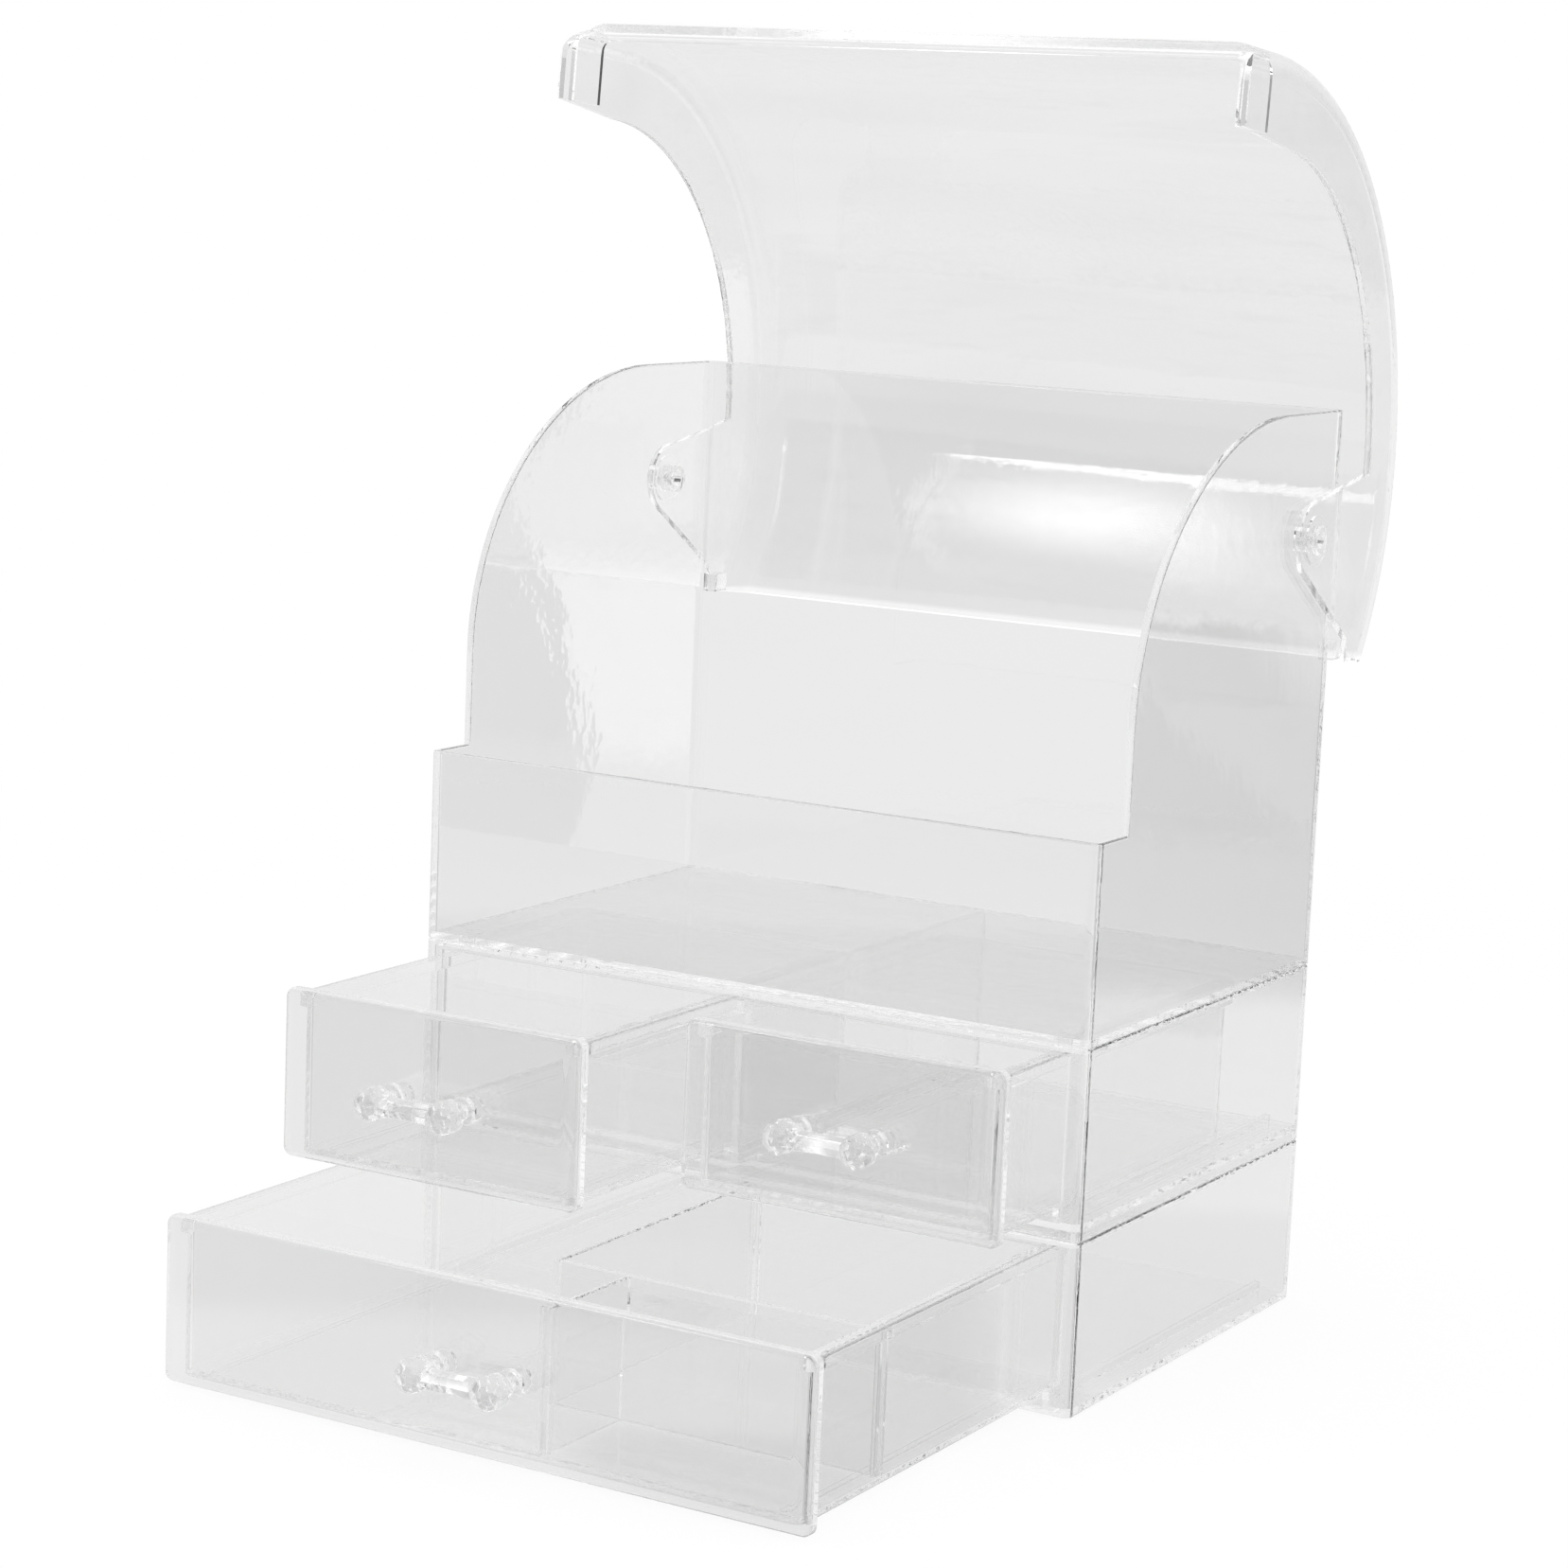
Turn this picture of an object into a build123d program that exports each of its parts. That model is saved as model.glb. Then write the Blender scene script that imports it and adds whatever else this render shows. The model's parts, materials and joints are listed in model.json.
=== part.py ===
from build123d import *
import math
import os

os.makedirs("parts", exist_ok=True)

# The case: two drawer casings and a tray box stacked on one plan, front towards -Y
case_w = 240.0
case_d = 162.0
case_corner = 3.0
wall = 2.5
half_w = case_w / 2
front_y = -case_d / 2
back_y = case_d / 2

# A film of air is left wherever one moulding sits on another
seat_gap = 0.1

# Heights from the table up: each floor, bay and roof in turn
floor_t = 2.4
roof_t = 2.0
low_bay_h = 49.6
skirt_h = 3.0
mid_bay_h = 51.6
low_floor = floor_t
low_roof_under = low_floor + low_bay_h
low_top = low_roof_under + roof_t
mid_bottom = low_top + seat_gap
mid_floor_under = low_top + skirt_h
mid_floor = mid_floor_under + floor_t
mid_roof_under = mid_floor + mid_bay_h
mid_top = mid_roof_under + roof_t

# The middle casing's skirt drops over a ring on the casing below
ring_h = 2.4
ring_t = 2.0
skirt_gap = 0.2

# Front openings: side flanges narrow them and a low lip under the roof stops the drawers
flange_w = 6.5
lip_drop = 0.8
open_half_w = half_w - flange_w

# Tray box heights and the stepped, curved outline of its side walls
box_front_h = 61.5
box_back_h = 181.5
side_step = 18.6
crest_back = 42.0
curve_b = 89.5
rim_round = 0.7
box_bottom = mid_top + seat_gap
box_floor = mid_top + floor_t
box_front_top = mid_top + box_front_h
box_back_top = mid_top + box_back_h
curve_y = back_y - crest_back
curve_z = box_back_top - curve_b
side_front_y = front_y + side_step
curve_a = curve_y - side_front_y

# Locating pegs between the middle casing and the tray box
peg_r = 3.0
peg_h = 1.2
peg_in = 12.0
peg_gap = 0.1
peg_x = half_w - peg_in
peg_y = back_y - peg_in

# Hinge: a stub pin through each lid ear and side wall
pin_in = 25.0
pin_down = 40.0
pin_y = back_y - pin_in
pin_z = box_back_top - pin_down
pin_r = 2.5
pin_run_gap = 0.05
pin_head_r = 4.8
pin_head_t = 1.6
pin_cap_r = 4.5
pin_cap_t = 1.8
pin_grip = 1.1

# Lid: a curved sheet with a cheek down each side, drawn shut and then swung open
lid_t = 2.4
lid_gap = 0.4
lid_front_out = 10.0
lid_crest_gap = 28.5
lid_corner = 10.0
lid_back_out = 14.0
lid_back_drop = 13.0
lid_swing = 95.0
lid_edge_up = 7.5
lid_cheek_down = 2.9
lid_blank_down = 11.6
lid_lip_t = 2.2
lid_lip_h = 8.0
lid_lip_back = 3.0
lid_rest_gap = 0.1
cheek_lap = 0.4
cheek_foot_drop = 6.0
cheek_foot_in = 7.0
lid_half_in = half_w + lid_gap
lid_half_out = lid_half_in + lid_t
lid_a = curve_y - front_y + lid_front_out
lid_b = curve_b + lid_crest_gap
lid_back_y = back_y + lid_back_out
lid_front_edge = box_front_top + lid_edge_up
lid_cheek_edge = box_front_top - lid_cheek_down
lid_lip_top = lid_front_edge + lid_lip_h
lid_blank_bottom = lid_cheek_edge - lid_blank_down
lid_space_bottom = lid_blank_bottom - 10.0

# Ears that carry the pins, and the lugs that meet the back wall
ear_r = 11.5
ear_front_lean = 14.5
ear_back_lean = 28.2
ear_rise = 1.5
ear_boss_r = 8.0
ear_boss_h = 0.8
lug_w = 6.0
lug_d = 8.0
lug_h = 6.0
lug_down = 41.0
lug_bite = 0.1

# Drawers: a tray, a thick front panel and a two-post pull
tray_t = 2.2
tray_len = 156.0
tray_corner = 4.0
tray_inset = 12.4
tray_rise = 0.6
tray_runner_h = 0.5
runner_in = 9.0
runner_end = 6.0
rim_out = 2.8
rim_h = 4.0
rim_gap = 1.1
stop_h = 0.75
stop_len = 4.0
stop_from_back = 13.6
tray_half_w = half_w - tray_inset
low_rim = low_roof_under - rim_gap
mid_rim = mid_roof_under - rim_gap

# How far each drawer stands out of the case at rest
low_out = 134.2
left_out = 78.8
right_out = 33.1
panel_t = 4.0
panel_round = 1.5
panel_corner = 3.0
low_panel_front = front_y - low_out - panel_t
left_panel_front = front_y - left_out - panel_t
right_panel_front = front_y - right_out - panel_t

# Front panels reach past their bays above and below, and nearly fill the openings
low_panel_side = 1.6
low_panel_under = 1.3
low_panel_over = 0.4
mid_panel_side = 1.2
mid_panel_under = 0.5
mid_panel_over = 0.8
low_panel_half = open_half_w - low_panel_side
low_panel_bottom = low_floor - low_panel_under
low_panel_top = low_roof_under + low_panel_over
mid_panel_out = open_half_w - mid_panel_side
mid_panel_bottom = mid_floor - mid_panel_under
mid_panel_top = mid_roof_under + mid_panel_over

# Rails on the casing floors keep the trays straight
rail_gap = 0.4
rail_w = 2.0
rail_h = 2.6
rail_end = 6.0
rail_len = case_d - 2 * rail_end

# Partition between the two upper drawers, and the drawers' own inner sides
part_t = 2.6
groove_d = 0.8
groove_gap = 0.1
part_to_panel = 2.0
part_to_tray = 6.1
mid_panel_in = part_t / 2 + part_to_panel
mid_tray_in = part_t / 2 + part_to_tray
mid_tray_out = half_w - tray_inset

# Pulls: posts this far apart, facets cut round each head
pull_pitch = 26.0
pull_base_r = 4.6
pull_base_t = 1.4
pull_neck_r = 2.6
pull_neck_len = 3.4
pull_head_r = 5.6
pull_head_len = 12.0
pull_bar_r = 3.0
pull_drop = 1.6
pull_sides = 8
pull_peg_r = 2.0
pull_hole_r = 2.1
cap_r = 4.0
cap_t = 1.8
cap_grip = 1.2

# Dividers in the large drawer, seen from above
divider_t = 2.0
divider_gap = 0.1
divider_drop = 2.9
long_x = -3.0
cross_back = 46.2
short_x = 22.0
guide_t = 1.2
guide_out = 1.6
divider_top = low_rim - divider_drop
cross_y = low_panel_front + cross_back


# Bottom casing: floor, walls and roof round one wide drawer bay
with BuildPart() as bottom_casing:
    with BuildSketch():
        RectangleRounded(case_w, case_d, case_corner)
    extrude(amount=low_top)
    chamfer(bottom_casing.faces().sort_by(Axis.Z)[-1].edges(), 0.5)
    chamfer(bottom_casing.faces().sort_by(Axis.Z)[0].edges(), 0.5)
    with BuildSketch(Plane.XY.offset(low_floor)):
        RectangleRounded(case_w - 2 * wall, case_d - 2 * wall, 1.5)
    extrude(amount=low_roof_under - low_floor, mode=Mode.SUBTRACT)
    with BuildSketch(Plane.XZ.offset(-front_y)):
        with Locations((0, (low_floor + low_roof_under - lip_drop) / 2)):
            Rectangle(2 * open_half_w, low_roof_under - lip_drop - low_floor)
    extrude(amount=-2 * wall, mode=Mode.SUBTRACT)
    with BuildSketch(Plane.XY.offset(low_floor)):
        with Locations(
            (-tray_half_w - rail_gap - rail_w / 2, 0),
            (tray_half_w + rail_gap + rail_w / 2, 0),
        ):
            Rectangle(rail_w, rail_len)
    extrude(amount=rail_h)
    with BuildSketch(Plane.XY.offset(low_top)):
        RectangleRounded(case_w - 2 * wall - 2 * skirt_gap, case_d - 2 * wall - 2 * skirt_gap, 1.5)
        RectangleRounded(
            case_w - 2 * wall - 2 * skirt_gap - 2 * ring_t,
            case_d - 2 * wall - 2 * skirt_gap - 2 * ring_t,
            1.0,
            mode=Mode.SUBTRACT,
        )
    extrude(amount=ring_h)
bottom_casing.part.label = "bottom_casing"
export_step(bottom_casing.part, "parts/bottom_casing.step")
print("bottom casing", bottom_casing.part.bounding_box())


# Middle casing: the skirt hangs over the ring, and pegs on the roof locate the tray box
with BuildPart() as middle_casing:
    with BuildSketch(Plane.XY.offset(mid_bottom)):
        RectangleRounded(case_w, case_d, case_corner)
    extrude(amount=mid_top - mid_bottom)
    chamfer(middle_casing.faces().sort_by(Axis.Z)[-1].edges(), 0.5)
    chamfer(middle_casing.faces().sort_by(Axis.Z)[0].edges(), 0.5)
    with BuildSketch(Plane.XY.offset(mid_bottom)):
        RectangleRounded(case_w - 2 * wall, case_d - 2 * wall, 1.5)
    extrude(amount=mid_floor_under - mid_bottom, mode=Mode.SUBTRACT)
    with BuildSketch(Plane.XY.offset(mid_floor)):
        RectangleRounded(case_w - 2 * wall, case_d - 2 * wall, 1.5)
    extrude(amount=mid_roof_under - mid_floor, mode=Mode.SUBTRACT)
    with BuildSketch(Plane.XZ.offset(-front_y)):
        with Locations((0, (mid_floor + mid_roof_under - lip_drop) / 2)):
            Rectangle(2 * open_half_w, mid_roof_under - lip_drop - mid_floor)
    extrude(amount=-2 * wall, mode=Mode.SUBTRACT)
    # grooves that hold the partition's top and bottom edges
    with BuildSketch(Plane.XY.offset(mid_floor - groove_d)):
        with Locations((0, wall / 2)):
            Rectangle(part_t + 2 * groove_gap, case_d - 3 * wall)
    extrude(amount=mid_roof_under - mid_floor + 2 * groove_d, mode=Mode.SUBTRACT)
    with BuildSketch(Plane.XY.offset(mid_floor)):
        with Locations(
            (-mid_tray_out - rail_gap - rail_w / 2, 0),
            (-mid_tray_in + rail_gap + rail_w / 2, 0),
            (mid_tray_in - rail_gap - rail_w / 2, 0),
            (mid_tray_out + rail_gap + rail_w / 2, 0),
        ):
            Rectangle(rail_w, rail_len)
    extrude(amount=rail_h)
    with BuildSketch(Plane.XY.offset(mid_top)):
        with GridLocations(2 * peg_x, 2 * peg_y, 2, 2):
            Circle(peg_r)
    extrude(amount=peg_h)
middle_casing.part.label = "middle_casing"
export_step(middle_casing.part, "parts/middle_casing.step")
print("middle casing", middle_casing.part.bounding_box())


# Partition: a plate whose edges stand in the grooves, notched to pass under the front lip
with BuildPart() as partition:
    with BuildSketch(Plane.YZ):
        with BuildLine():
            Polyline(
                (front_y, mid_floor + groove_gap),
                (front_y + 2 * wall + groove_gap, mid_floor + groove_gap),
                (front_y + 2 * wall + groove_gap, mid_floor - groove_d + groove_gap),
                (back_y - wall - groove_gap, mid_floor - groove_d + groove_gap),
                (back_y - wall - groove_gap, mid_roof_under + groove_d - groove_gap),
                (front_y + 2 * wall + groove_gap, mid_roof_under + groove_d - groove_gap),
                (front_y + 2 * wall + groove_gap, mid_roof_under - lip_drop - groove_gap),
                (front_y, mid_roof_under - lip_drop - groove_gap),
                close=True,
            )
        make_face()
    extrude(amount=part_t / 2, both=True)
    chamfer(partition.edges().group_by(Axis.Y)[0].filter_by(Axis.Z), 0.5)
partition.part.label = "partition"
export_step(partition.part, "parts/partition.step")


# Tray box: low front wall, tall back wall, side walls that step back and curve up to it
with BuildPart() as top_box:
    with BuildSketch(Plane.YZ):
        with BuildLine():
            Polyline(
                (curve_y, box_back_top),
                (back_y, box_back_top),
                (back_y, box_bottom),
                (front_y, box_bottom),
                (front_y, box_front_top),
                (side_front_y, box_front_top),
                (side_front_y, curve_z),
            )
            EllipticalCenterArc((curve_y, curve_z), curve_a, curve_b, start_angle=90, arc_size=90)
        make_face()
    extrude(amount=half_w, both=True)
    with BuildSketch(Plane.XY.offset(box_bottom)):
        RectangleRounded(case_w, case_d, case_corner)
    extrude(amount=box_back_top - box_bottom, mode=Mode.INTERSECT)
    chamfer(top_box.faces().sort_by(Axis.Z)[0].edges(), 0.5)
    with BuildSketch(Plane.XY.offset(box_floor)):
        RectangleRounded(case_w - 2 * wall, case_d - 2 * wall, 1.5)
    extrude(amount=box_back_top - box_floor, mode=Mode.SUBTRACT)
    rim_edges = [
        e for e in top_box.edges()
        if e.center().Z > box_front_top - 0.1
        and e.length > 12.0
        and not (e.geom_type == GeomType.LINE and abs(e.tangent_at(0.5).Z) > 0.9 and e.center().Y > 0)
    ]
    fillet(rim_edges, rim_round)
    with BuildSketch(Plane.XY.offset(mid_top)):
        with GridLocations(2 * peg_x, 2 * peg_y, 2, 2):
            Circle(peg_r + peg_gap)
    extrude(amount=peg_h + 2 * peg_gap, mode=Mode.SUBTRACT)
    with BuildSketch(Plane.YZ):
        with Locations((pin_y, pin_z)):
            Circle(pin_r)
    extrude(amount=half_w, both=True, mode=Mode.SUBTRACT)
top_box.part.label = "top_box"
export_step(top_box.part, "parts/top_box.step")
print("tray box", top_box.part.bounding_box())


# The outer curve and its run-out over the back wall, offset inwards by any distance
def lid_profile(inset, bottom, tail):
    a = lid_a - inset
    b = lid_b - inset
    run = lid_back_y - curve_y
    arc_r = (run ** 2 + lid_back_drop ** 2) / (2 * lid_back_drop)
    angle = math.asin((run + tail) / arc_r)
    end_y = curve_y + (arc_r - inset) * math.sin(angle)
    end_z = curve_z + lid_b - arc_r + (arc_r - inset) * math.cos(angle)
    mid_y = curve_y + (arc_r - inset) * math.sin(angle / 2)
    mid_z = curve_z + lid_b - arc_r + (arc_r - inset) * math.cos(angle / 2)
    Line((curve_y - a, bottom), (curve_y - a, curve_z))
    EllipticalCenterArc((curve_y, curve_z), a, b, start_angle=90, arc_size=90)
    ThreePointArc((curve_y, curve_z + b), (mid_y, mid_z), (end_y, end_z))
    return end_y, end_z


# Space under the lid sheet and between its cheeks
with BuildPart() as lid_space:
    with BuildSketch(Plane.YZ):
        with BuildLine():
            tail_y, tail_z = lid_profile(lid_t, lid_space_bottom, 8.0)
            Polyline(
                (tail_y, tail_z), (tail_y, lid_space_bottom), (curve_y - lid_a + lid_t, lid_space_bottom)
            )
        make_face()
    extrude(amount=lid_half_in, both=True)
    inner_edges = [
        e for e in lid_space.edges()
        if abs(abs(e.center().X) - lid_half_in) < 0.1
        and e.center().Z > lid_space_bottom + 0.5
        and e.center().Y < tail_y - 0.5
    ]
    fillet(inner_edges, lid_corner - lid_t)


# Lid, drawn shut: sheet and cheeks, with an ear down to the pin on each side
front_lean = math.radians(ear_front_lean)
back_lean = math.radians(ear_back_lean)
ear_top = box_back_top + ear_rise
ear_f = (pin_y - ear_r * math.cos(front_lean), pin_z - ear_r * math.sin(front_lean))
ear_b = (pin_y + ear_r * math.cos(back_lean), pin_z - ear_r * math.sin(back_lean))
cheek_in_y = side_front_y + cheek_lap
cheek_foot_z = box_back_top - cheek_foot_drop
lip_back_y = side_front_y - lid_lip_back
with BuildPart() as lid_shut:
    with BuildSketch(Plane.YZ) as cheek:
        with BuildLine():
            rear_y, rear_z = lid_profile(0.0, lid_blank_bottom, 0.0)
            Polyline(
                (rear_y, rear_z),
                (rear_y, cheek_foot_z),
                (rear_y - cheek_foot_in, cheek_foot_z),
                (rear_y - cheek_foot_in, box_back_top),
                (curve_y, box_back_top),
            )
            EllipticalCenterArc(
                (curve_y, curve_z), curve_y - cheek_in_y, curve_b, start_angle=90, arc_size=90
            )
            Polyline(
                (cheek_in_y, curve_z),
                (lip_back_y, lid_cheek_edge),
                (lip_back_y, lid_blank_bottom),
                (curve_y - lid_a, lid_blank_bottom),
            )
        make_face()
    extrude(amount=lid_half_out, both=True)
    outer_edges = [
        e for e in lid_shut.edges()
        if abs(abs(e.center().X) - lid_half_out) < 0.1
        and (e.center().Y < side_front_y - 10 or e.center().Z > box_back_top + 10)
        and e.center().Z > lid_blank_bottom + 0.5
    ]
    outer_edges = [
        e for e in outer_edges
        if (e.center().Y - curve_y) ** 2 / lid_a ** 2 + (e.center().Z - curve_z) ** 2 / lid_b ** 2 > 0.85
        and e.center().Y < rear_y - 0.5
    ]
    fillet(outer_edges, lid_corner)
    with BuildSketch(Plane.YZ):
        with BuildLine():
            Polyline(
                ear_f,
                (ear_f[0] - (ear_top - ear_f[1]) * math.tan(front_lean), ear_top),
                (ear_b[0] + (ear_top - ear_b[1]) * math.tan(back_lean), ear_top),
                ear_b,
                close=True,
            )
        make_face()
        with Locations((pin_y, pin_z)):
            Circle(ear_r)
    extrude(amount=lid_half_out, both=True)
    add(lid_space.part, mode=Mode.SUBTRACT)
    # lip inside the free edge; its underside rests on the box's side ledges when shut
    with BuildSketch(Plane.XY.offset(box_front_top + lid_rest_gap)):
        with Locations((0, (curve_y - lid_a + lid_t + lip_back_y) / 2)):
            Rectangle(2 * lid_half_in + 0.5, lip_back_y - (curve_y - lid_a + lid_t) + 0.5)
        with Locations((0, curve_y - lid_a + lid_t + lid_lip_t + 50.0)):
            RectangleRounded(2 * (lid_half_in - lid_lip_t), 100.0, 3.4, mode=Mode.SUBTRACT)
    extrude(amount=lid_lip_top - box_front_top - lid_rest_gap)
    # free edge: straight across the front, rounded down to the cheeks' lower ends
    cut_r = lid_front_edge - lid_cheek_edge
    cut_y = curve_y - lid_a + lid_t + 0.4
    with BuildSketch(Plane.YZ):
        with BuildLine():
            Polyline(
                (cut_y + cut_r, lid_cheek_edge),
                (curve_y, lid_cheek_edge),
                (curve_y, lid_space_bottom),
                (curve_y - lid_a - 5.0, lid_space_bottom),
                (curve_y - lid_a - 5.0, lid_front_edge),
                (cut_y, lid_front_edge),
            )
            RadiusArc((cut_y, lid_front_edge), (cut_y + cut_r, lid_cheek_edge), -cut_r)
        make_face()
    extrude(amount=lid_half_out + 2.0, both=True, mode=Mode.SUBTRACT)
    # raised ring round each pin, then the running bore
    for side in (-1, 1):
        with BuildSketch(Plane.YZ.offset(side * lid_half_out)):
            with Locations((pin_y, pin_z)):
                Circle(ear_boss_r)
        extrude(amount=side * ear_boss_h)
    with BuildSketch(Plane.YZ):
        with Locations((pin_y, pin_z)):
            Circle(pin_r + pin_run_gap)
    extrude(amount=lid_half_out + 2.0, both=True, mode=Mode.SUBTRACT)
print("lid, shut", lid_shut.part.bounding_box(), "solids", len(lid_shut.part.solids()))


# Lid, swung open to rest, with a lug behind each cheek that meets the back wall
pin_axis = Axis((0, pin_y, pin_z), (1, 0, 0))
with BuildPart() as lid:
    add(lid_shut.part.rotate(pin_axis, -lid_swing))
    for side in (-1, 1):
        with BuildSketch(Plane.XY.offset(pin_z - lug_down)):
            with Locations(
                (side * (lid_half_in + lug_bite - lug_w / 2), back_y + lid_rest_gap + lug_d / 2)
            ):
                Rectangle(lug_w, lug_d)
        extrude(amount=lug_h)
lid.part.label = "lid"
export_step(lid.part, "parts/lid.step")
print("lid, open", lid.part.bounding_box(), "solids", len(lid.part.solids()))


# Hinge pins: a head outside each ear, a shaft through ear and wall
with BuildPart() as hinge_pins:
    head_in = lid_half_out + ear_boss_h + 0.1
    for side in (-1, 1):
        with BuildSketch(Plane.YZ.offset(side * (half_w - wall - pin_grip))):
            with Locations((pin_y, pin_z)):
                Circle(pin_r)
        extrude(amount=side * (head_in + pin_head_t - half_w + wall + pin_grip))
        with BuildSketch(Plane.YZ.offset(side * head_in)):
            with Locations((pin_y, pin_z)):
                Circle(pin_head_r)
        extrude(amount=side * pin_head_t)
    head_faces = hinge_pins.faces().filter_by(Axis.X)
    outer_faces = [head_faces.sort_by(Axis.X)[0], head_faces.sort_by(Axis.X)[-1]]
    for face in outer_faces:
        fillet(face.edges(), 0.6)
hinge_pins.part.label = "hinge_pins"
export_step(hinge_pins.part, "parts/hinge_pins.step")


# Caps pushed on the pins' inner ends
with BuildPart() as pin_caps:
    for side in (-1, 1):
        with BuildSketch(Plane.YZ.offset(side * (half_w - wall - seat_gap))):
            with Locations((pin_y, pin_z)):
                Circle(pin_cap_r)
        extrude(amount=-side * pin_cap_t)
    cap_faces = pin_caps.faces().filter_by(Axis.X).sort_by(Axis.X)
    for face in (cap_faces[1], cap_faces[2]):
        fillet(face.edges(), 0.5)
    for side in (-1, 1):
        with BuildSketch(Plane.YZ.offset(side * (half_w - wall))):
            with Locations((pin_y, pin_z)):
                Circle(pin_r)
        extrude(amount=-side * pin_grip, mode=Mode.SUBTRACT)
pin_caps.part.label = "pin_caps"
export_step(pin_caps.part, "parts/pin_caps.step")


# A drawer tray: runners below, a rim along each side, a stop near each rim's back end
def make_tray(name, x, width, panel_front, floor, rim_top, guides):
    y0 = panel_front + panel_t + seat_gap
    base = floor + tray_rise
    y_mid = y0 + tray_len / 2
    pull_z = pull_height(floor)
    with BuildPart() as tray:
        with BuildSketch(Plane.XY.offset(base)):
            with Locations((x, y_mid)):
                RectangleRounded(width, tray_len, tray_corner)
        extrude(amount=rim_top - base)
        fillet(tray.faces().sort_by(Axis.Z)[0].edges(), 1.0)
        with BuildSketch(Plane.XY.offset(rim_top - rim_h)):
            with Locations((x, y_mid)):
                RectangleRounded(width + 2 * rim_out, tray_len, tray_corner)
        extrude(amount=rim_h)
        fillet(tray.faces().sort_by(Axis.Z)[-1].edges(), 0.8)
        with BuildSketch(Plane.XY.offset(base + tray_t)):
            with Locations((x, y_mid)):
                RectangleRounded(width - 2 * tray_t, tray_len - 2 * tray_t, tray_corner - tray_t)
        extrude(amount=rim_top - base - tray_t, mode=Mode.SUBTRACT)
        with BuildSketch(Plane.XY.offset(base - tray_runner_h)):
            with Locations((x - width / 2 + runner_in, y_mid), (x + width / 2 - runner_in, y_mid)):
                Rectangle(2.0, tray_len - 2 * runner_end)
        extrude(amount=tray_runner_h + 0.2)
        stop_x = width / 2 + rim_out / 2 - 0.8
        stop_y = y0 + tray_len - stop_from_back + stop_len / 2
        with BuildSketch(Plane.XY.offset(rim_top - 0.5)):
            with Locations((x - stop_x, stop_y), (x + stop_x, stop_y)):
                Rectangle(2.4, stop_len)
        extrude(amount=stop_h + 0.5)
        # short ribs in pairs hold the ends of the dividers
        for gx, gy, along_x in guides:
            with BuildSketch(Plane.XY.offset(base + tray_t - 0.2)):
                with Locations((gx, gy)):
                    if along_x:
                        Rectangle(guide_out, 2 * guide_t + divider_t + 2 * divider_gap)
                        Rectangle(guide_out, divider_t + 2 * divider_gap, mode=Mode.SUBTRACT)
                    else:
                        Rectangle(2 * guide_t + divider_t + 2 * divider_gap, guide_out)
                        Rectangle(divider_t + 2 * divider_gap, guide_out, mode=Mode.SUBTRACT)
            extrude(amount=divider_top - base - tray_t + 0.2)
        with BuildSketch(Plane.XZ.offset(-y0)):
            with Locations((x - pull_pitch / 2, pull_z), (x + pull_pitch / 2, pull_z)):
                Circle(pull_hole_r)
        extrude(amount=-tray_t, mode=Mode.SUBTRACT)
    tray.part.label = name
    export_step(tray.part, "parts/" + name + ".step")
    print(name, tray.part.bounding_box(), "solids", len(tray.part.solids()))


# Pulls sit a little below the middle of the panel above the given casing floor
def pull_height(floor):
    if floor < low_top:
        return (low_panel_bottom + low_panel_top) / 2 - pull_drop
    return (mid_panel_bottom + mid_panel_top) / 2 - pull_drop


# A drawer's front panel: a thick plate with rounded edges, drilled for the pull's pegs
def make_panel(name, x0, x1, pull_x, panel_front, floor):
    bottom = low_panel_bottom if floor < low_top else mid_panel_bottom
    top = low_panel_top if floor < low_top else mid_panel_top
    x = (x0 + x1) / 2
    with BuildPart() as panel:
        with BuildSketch(Plane.XZ.offset(-panel_front - panel_t)):
            with Locations((x, (bottom + top) / 2)):
                RectangleRounded(x1 - x0, top - bottom, panel_corner)
        extrude(amount=panel_t)
        fillet(panel.faces().sort_by(Axis.Y)[0].edges(), panel_round)
        chamfer(panel.faces().sort_by(Axis.Y)[-1].edges(), 0.4)
        with BuildSketch(Plane.XZ.offset(-panel_front - panel_t)):
            with Locations(
                (pull_x - pull_pitch / 2, pull_height(floor)),
                (pull_x + pull_pitch / 2, pull_height(floor)),
            ):
                Circle(pull_hole_r)
        extrude(amount=panel_t, mode=Mode.SUBTRACT)
    panel.part.label = name
    export_step(panel.part, "parts/" + name + ".step")


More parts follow.
